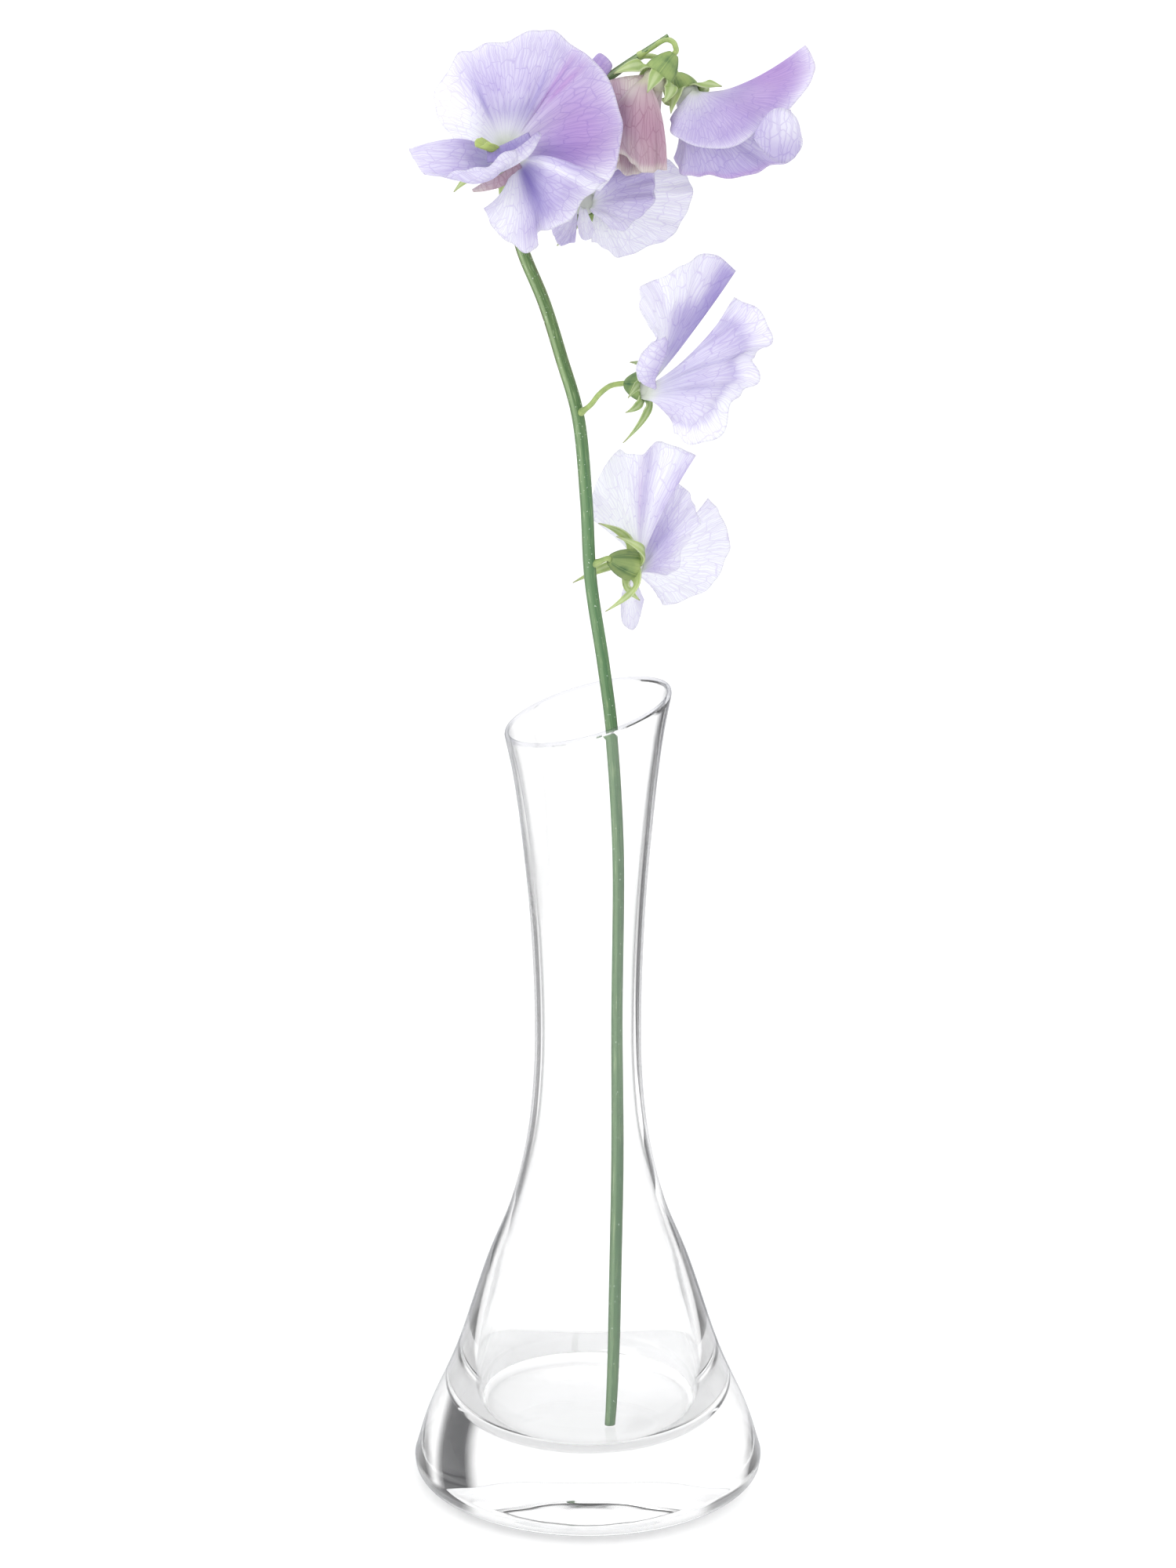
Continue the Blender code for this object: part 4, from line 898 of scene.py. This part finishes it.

# The colour marks of each petal: soft spots given by u across it, v out from the calyx, their half widths
# and strength. The deep marks are partly the petal's own deeper colour and partly painted shade in the
# valleys of folds and where a petal turns from the light; some pale marks are painted highlights on ridges
# and margins. folds are ridges along a vein given by u, height and half width, and roll is how far the
# margin bends over. calyx and stalk say how yellow these are and how strong their painted shade is, sepal
# how wide its blades are, and bell and pedicel replace values of the bloom.
looks = {
    "front": {
        "calyx": (0.6, 0.1),
        "standard": dict(
            blush=[(0.62, 0.62, 0.018, 0.34, 1.0), (0.66, 0.66, 0.014, 0.25, 0.8),
                   (0.85, 0.6, 0.2, 0.42, 0.85)],
            # painted shade: the narrowest deep marks lie along the folds
            deep=[(0.24, 0.45, 0.02, 0.25, 0.6), (0.92, 0.4, 0.12, 0.35, 0.35),
                  (0.45, 0.28, 0.15, 0.1, 0.3), (0.55, 0.5, 0.012, 0.3, 0.4),
                  (0.628, 0.66, 0.007, 0.28, 0.4)],
            pale=[(0.0, 0.75, 0.2, 0.75, 1.0, 4), (0.35, 0.08, 0.3, 0.17, 0.7),
                  (0.97, 0.92, 0.06, 0.2, 0.9), (0.36, 0.88, 0.27, 0.26, 0.5),
                  (0.5, 1.0, 0.6, 0.08, 0.3)],
            folds=[(0.62, 1.0, 0.025), (0.24, -0.9, 0.03), (0.53, -0.5, 0.02), (0.86, 0.8, 0.06)],
            roll=0.6),
        "wing_right": dict(
            # the deep marks are partly painted shade in the middle of the wing; the narrow pale mark on
            # the fold's ridge is a painted highlight
            deep=[(0.58, 0.25, 0.2, 0.4, 0.7), (0.8, 0.18, 0.2, 0.2, 0.5), (0.62, 0.6, 0.1, 0.3, 0.3)],
            pale=[(0.1, 0.6, 0.28, 0.6, 0.95, 3), (0.93, 0.5, 0.035, 0.6, 0.9),
                  (0.7, 1.0, 0.4, 0.16, 0.7)],
            folds=[(0.93, 0.7, 0.05)]),
        "wing_left": dict(
            deep=[(0.3, 0.1, 0.5, 0.3, 0.55), (0.62, 0.75, 0.06, 0.5, 0.2)],
            pale=[(0.95, 0.8, 0.3, 0.5, 0.6, 3), (0.2, 0.95, 0.5, 0.3, 0.6)]),
        "keel": dict(skin="lime"),
        "scraps": [
            dict(of="wing_left", skin="mauve", pale=[(0.1, 0.6, 0.4, 0.8, 0.7)],
                 edge=[(-7.8, -8, -5.2), (-5.2, -7.5, -3.7), (-1.4, -6, -2.1), (2.5, -4, 0.4)],
                 rim=[(-7.4, -8, -5.7), (-4.5, -8, -5.4), (-0.5, -6.5, -4.5), (3.5, -4.5, -1.3)]),
            dict(of="wing_left", skin="lilac", pale=[(0.5, 0.8, 0.9, 0.5, 0.8)],
                 edge=[(-2.9, -19, 3.6), (0.2, -18, 5.3), (3.6, -13, 6.4), (7, -5, 7.3)],
                 rim=[(-1.2, -19.3, 1.5), (2.3, -17.5, 2.9), (5.5, -13.5, 4.4), (7.7, -6, 6.6)]),
            dict(of="wing_left", skin="lilac", deep=[(0.4, 0.4, 0.6, 0.6, 0.7)],
                 edge=[(-4.4, -12.5, 5), (-1.9, -12, 5.6), (0.8, -9.5, 6.2), (4.8, -4.5, 7)],
                 rim=[(-4.3, -14.5, 2.5), (-1.2, -14.5, 2.8), (1.9, -12.5, 3.9), (5.6, -6.5, 5.8)]),
            dict(of="standard", skin="lilac", blush=[(0.5, 0.5, 0.6, 0.6, 0.5)],
                 edge=[(18.2, 9, 18.6), (18.8, 9, 17.5), (19.5, 9, 16.4), (20.3, 9, 15)],
                 rim=[(19, 9.5, 20.3), (20.8, 10, 21.6), (23.4, 10, 18.9), (21.7, 9.5, 16)])],
    },
    "behind": {
        "calyx": (0.6, 0.1),
        "standard": dict(pale=[(0.5, 0.6, 0.9, 0.9, 0.95, 4)]),
        "wing_right": dict(deep=[(0.25, 0.5, 0.3, 0.4, 0.1)], pale=[(0.9, 0.6, 0.35, 0.7, 0.8)]),
        "wing_left": dict(pale=[(0.5, 0.6, 0.8, 0.8, 0.5)]),
        "keel": dict(pale=[(0.5, 0.5, 1, 1, 1.0)]),
    },
    "bud": {
        "calyx": (0.3, 0.15),
        "bell": dict(mouth=(15.8, 1.5, 341.5), base=(3.4, 1.5, 4.4), late=0.03,
                     sepals=[(-10, -0.5, 0.3), (-2.6, -5.5, -2.8), (1, -4, -5.5), (1.5, 3.5, -6),
                             (-5, 4.5, -3)]),
        "standard": dict(blush=[(0.15, 0.6, 0.2, 0.5, 0.7)], deep=[(0.36, 0.4, 0.08, 0.3, 0.5)],
                         pale=[(0.5, 1.0, 0.6, 0.06, 0.9, 4), (0.4, 0.2, 0.12, 0.12, 0.7),
                               (0.5, 0.85, 0.5, 0.15, 0.35)]),
        "pedicel": [(3.7, 1.5, 6.1), (3.35, 1.6, 6.9), (2.6, 1.8, 7.4), (1.55, 2, 7.55),
                    (0.3, 2.3, 6.95), (-1.3, 2.7, 5.75), (-3.1, 3.1, 4.3), (-4.8, 3.4, 3.1)],
        "sepal": 1.7,
        "scraps": [
            dict(of="standard", skin="mauve", pale=[(0.7, 0.2, 0.3, 0.5, 0.9)],
                 edge=[(-10.6, 1.5, -0.2), (-7.1, 1, 0.8), (-2.6, 0.5, 1.4)],
                 rim=[(-8.9, -0.5, -6.7), (-6.4, -3, -5.4), (-3.3, -4, -4.1)])],
    },
    "top": {
        "calyx": (0.5, 0.1),
        "standard": dict(
            blush=[(0.62, 0.7, 0.3, 0.4, 0.75)], deep=[(0.5, 0.35, 0.3, 0.25, 0.15)],
            # painted highlight: the two pale marks at the upper margin
            pale=[(0.06, 0.6, 0.1, 0.5, 0.3), (0.3, 1.0, 0.3, 0.08, 0.5),
                  (0.6, 1.0, 0.25, 0.12, 0.45)]),
        "wing_right": dict(
            blush=[(0.4, 1.0, 0.35, 0.06, 0.8)],
            pale=[(0.9, 0.7, 0.22, 0.6, 0.9, 3), (0.05, 0.8, 0.25, 0.4, 0.45)]),
        "scraps": [
            dict(of="wing_right", skin="lilac", pale=[(0.7, 0.8, 0.5, 0.5, 0.8)],
                 edge=[(14.9, -14, -6.9), (16.7, -13, -9.6), (18.9, -11, -12.3), (21.4, -9, -13.8),
                       (23.9, -8, -13.2), (25.5, -7, -11.1)],
                 rim=[(15.2, -16, -5), (16.9, -17, -1.9), (19.3, -17, 0.4), (22.1, -16, 0.2),
                      (24.5, -13, -2.6), (25.7, -9, -7.4)])],
    },
    "middle": {
        "calyx": (0.1, 0.5),
        "stalk": (0.75, 0.1),
        "sepal": 1.0,
        "bell": dict(late=0.05),
        "standard": dict(
            deep=[(1.0, 0.4, 0.3, 0.3, 0.3, 4), (1.0, 0.85, 0.07, 0.3, 0.35, 4),
                  (0.5, 0.2, 0.05, 0.2, 0.4)],
            pale=[(0.3, 0.6, 0.42, 0.8, 0.95, 6), (0.8, 0.95, 0.13, 0.3, 0.8, 6)],
            folds=[(0.8, 1.0, 0.03)]),
        "scraps": [
            dict(of="standard", skin="lilac", pale=[(0.4, 0.8, 0.6, 0.5, 0.75)],
                 edge=[(5, -10, 13.2), (4.6, -10.5, 10.4), (3.7, -10.5, 8.2), (2.9, -10, 6.1),
                       (2.2, -9.5, 4.3), (2.4, -9, 2.3)],
                 rim=[(4.4, -11, 14.7), (1.6, -12.5, 13.5), (-0.9, -12.5, 11), (-2.1, -11.5, 7.2),
                      (-1, -10, 3.7), (2.2, -9, 1.8)])],
        "wing_right": dict(
            deep=[(0.45, 0.25, 0.35, 0.25, 0.35), (0.5, 0.81, 0.6, 0.03, 0.25),
                  (0.3, 0.6, 0.03, 0.3, 0.35), (0.62, 0.6, 0.03, 0.25, 0.3)],
            pale=[(0.5, 1.0, 0.8, 0.15, 0.5, 5), (0.85, 0.75, 0.3, 0.4, 0.25), (0.5, 0.5, 2, 2, 0.35)],
            folds=[(0.3, 0.9, 0.06), (0.62, -0.8, 0.05)], roll=2.2, ruffle=(1.3, 3.2, 0.45)),
        "wing_left": dict(pale=[(0.5, 0.6, 0.6, 0.6, 0.7)]),
    },
    "lower": {
        "calyx": (0.8, 0.45),
        "sepal": 1.25,
        "standard": dict(
            blush=[(0.62, 0.6, 0.02, 0.5, 0.45)],
            pale=[(0.2, 0.6, 0.42, 0.9, 1.0, 6), (0.85, 0.6, 0.1, 0.9, 0.7),
                  (0.8, 1.0, 0.4, 0.3, 0.5)]),
        "wing_right": dict(deep=[(0.45, 0.35, 0.3, 0.35, 0.2)], pale=[(0.5, 0.95, 0.9, 0.45, 0.8)]),
        "wing_left": dict(pale=[(0.5, 0.6, 0.8, 0.9, 1.0, 4)]),
        "keel": dict(pale=[(0.5, 0.5, 1, 1, 1.0)]),
    },
}


def buildScrap(bloomName, number, bloom, scrap, material):
    # a small torn or folded part of a petal, ruled between two curves and bowed a little to the front
    rows, columns = 10, 28
    near, far = (smoothCurve(scrap[side], columns)[None] + bloom["mouth"] for side in ("edge", "rim"))
    v, u = np.linspace(0, 1, rows)[:, None], np.linspace(0, 1, columns)[None, :]
    grid = near + (far - near) * v[..., None]
    grid = grid - np.sin(math.pi * v)[..., None] * np.array((0, 0.4, 0))
    uv = np.stack(np.broadcast_arrays(u * 3 + 0.2, 0.4 + 0.5 * v), -1).reshape(-1, 2)
    name = "scrap_%s_%d" % (bloomName, number)
    shown = meshPiece(name, grid.reshape(-1, 3), gridQuads(rows, columns), (), uv,
                      toneOf(u, v, scrap, 0.25), petals["thickness"])
    dress(shown, material, bloomName + "_" + scrap["of"])


def buildBlooms():
    # the pieces of each bloom; the bud has a skin of its own, and so has a petal that names one
    skins = {"lilac": petalPaint("petal", lilac), "mauve": petalPaint("bud_petal", mauve),
             "lime": petalPaint("keel_tip", lime)}
    green = calyxPaint()
    for bloomName, bloom in blooms.items():
        look = looks[bloomName]
        bell = dict(bloom, **look.get("bell", {}))
        buildCalyx(bloomName, bell, look, green)
        buildPedicel(bloomName, bell, look, green)
        for kind in [kind for kind in petals["kinds"] if kind in bloom]:
            marks = look.get(kind, {})
            skin = "mauve" if bloomName == "bud" else marks.get("skin", "lilac")
            buildPetal(bloomName, kind, bloom, marks, skins[skin])
            if kind == "keel":
                buildColumn(bloomName, bloom, skins[skin])
        for number, scrap in enumerate(look.get("scraps", ())):
            buildScrap(bloomName, number, bloom, scrap, skins[scrap["skin"]])
        print("built the bloom", bloomName)


# Studio: half the breadth of a pale floor and how far it lies below the glass, soft light all round, a
# large lamp, and dark cards behind the vase that only the glass sees. Each card is given by x and y of its
# inner end, x and y of its outer end, its lower and upper edge, and how dark it is. The place and size of
# the lamp are in metres.
studio = {
    "floor": 6000,
    "floorDrop": 0.3,
    "floorColours": ((0.98, 0.98, 0.985, 1), (0.97, 0.97, 0.97, 1)),
    "world": 1.16,
    "lamp": {"energy": 12.0, "size": 1.2, "place": (-1.1, -1.3, 1.6), "turn": (52, 0, -40)},
    "cards": [(-66, 180, -230, 180, 10, 88, 0.85), (66, 180, 230, 180, 20, 300, 1),
              (-49, 45, -49, 115, -8, 45, 0.4), (49, 45, 49, 115, -8, 45, 0.8)],
    "cardColours": ((0.012, 0.012, 0.014, 1), (0.03, 0.03, 0.035, 1)),
    "softness": 0.18,
}


def cardPaint(strength):
    # dark, fading out at its inner end, over its outer half and at its top
    paint = Paint(bpy.data.materials.new("card"))
    shade = paint.mixed(paint.noise(paint.place(), 5.0), *studio["cardColours"])
    matt = paint.make("BsdfPrincipled", {
        "Base Color": shade, "Roughness": 0.9, "Specular IOR Level": 0.0})
    outward, upward = paint.skin()
    soft = studio["softness"]
    solid = outward.step(0.0, soft) * outward.step(1.0, 0.5) * upward.step(1.0, 1 - soft) * strength
    clear = paint.make("BsdfTransparent", {"Color": white})
    return paint.finished(paint.blended(solid, clear, matt))


def buildFloor():
    # a flat square
    side, drop = studio["floor"], studio["floorDrop"]
    points = [(x * side, y * side, -drop) for x, y in ((-1, -1), (1, -1), (1, 1), (-1, 1))]
    floor = meshPiece("floor", points, [(0, 1, 2, 3)])
    paint = Paint(bpy.data.materials.new("floor"))
    shade = paint.mixed(paint.noise(paint.place(), 3.0), *studio["floorColours"])
    floor.data.materials.append(paint.finished(paint.make("BsdfPrincipled", {
        "Base Color": shade, "Roughness": 0.9, "Specular IOR Level": 0.0})))


def buildCards():
    # upright rectangles, each from its inner to its outer end and from its lower to its upper edge
    for number, (inX, inY, outX, outY, low, high, strength) in enumerate(studio["cards"]):
        corners = ((inX, inY, low), (outX, outY, low), (outX, outY, high), (inX, inY, high))
        skin = [(0, 0), (1, 0), (1, 1), (0, 1)]
        card = meshPiece("card_%d" % number, corners, [(0, 1, 2, 3)], (), skin)
        card.data.materials.append(cardPaint(strength))
        card.visible_camera = card.visible_diffuse = card.visible_shadow = False


def buildLight():
    # even light from all round, and one large lamp at the left, in front and above
    world = bpy.data.worlds.new("studio")
    scene.world = world
    paint = Paint(world)
    light = paint.make("Background", {"Color": white, "Strength": studio["world"]})
    paint.finished(light, "OutputWorld")
    given = studio["lamp"]
    lamp = bpy.data.lights.new("key", "AREA")
    lamp.energy = given["energy"]
    lamp.size = given["size"]
    key = bpy.data.objects.new("key", lamp)
    key.location = given["place"]
    key.rotation_euler = [math.radians(turn) for turn in given["turn"]]
    scene.collection.objects.link(key)


# The camera: its place in metres, how far it looks down, and its focal length in pixels of a picture whose
# long side is longSide pixels; sensor is in mm
camera = {"place": (0, -1.411, 0.670), "down": 19.36, "focal": 8237, "longSide": 2000, "sensor": 36}


def buildCamera():
    # it looks along y, turned down
    lens = bpy.data.cameras.new("camera")
    lens.sensor_width = camera["sensor"]
    lens.lens = camera["focal"] / camera["longSide"] * camera["sensor"]
    eye = bpy.data.objects.new("camera", lens)
    eye.location = camera["place"]
    eye.rotation_euler = (math.radians(90 - camera["down"]), 0, 0)
    scene.collection.objects.link(eye)
    scene.camera = eye
    scene.view_settings.view_transform = "Standard"


buildVase()
buildStem()
buildBlooms()
buildFloor()
buildCards()
buildLight()
buildCamera()
print("built the studio and the camera")
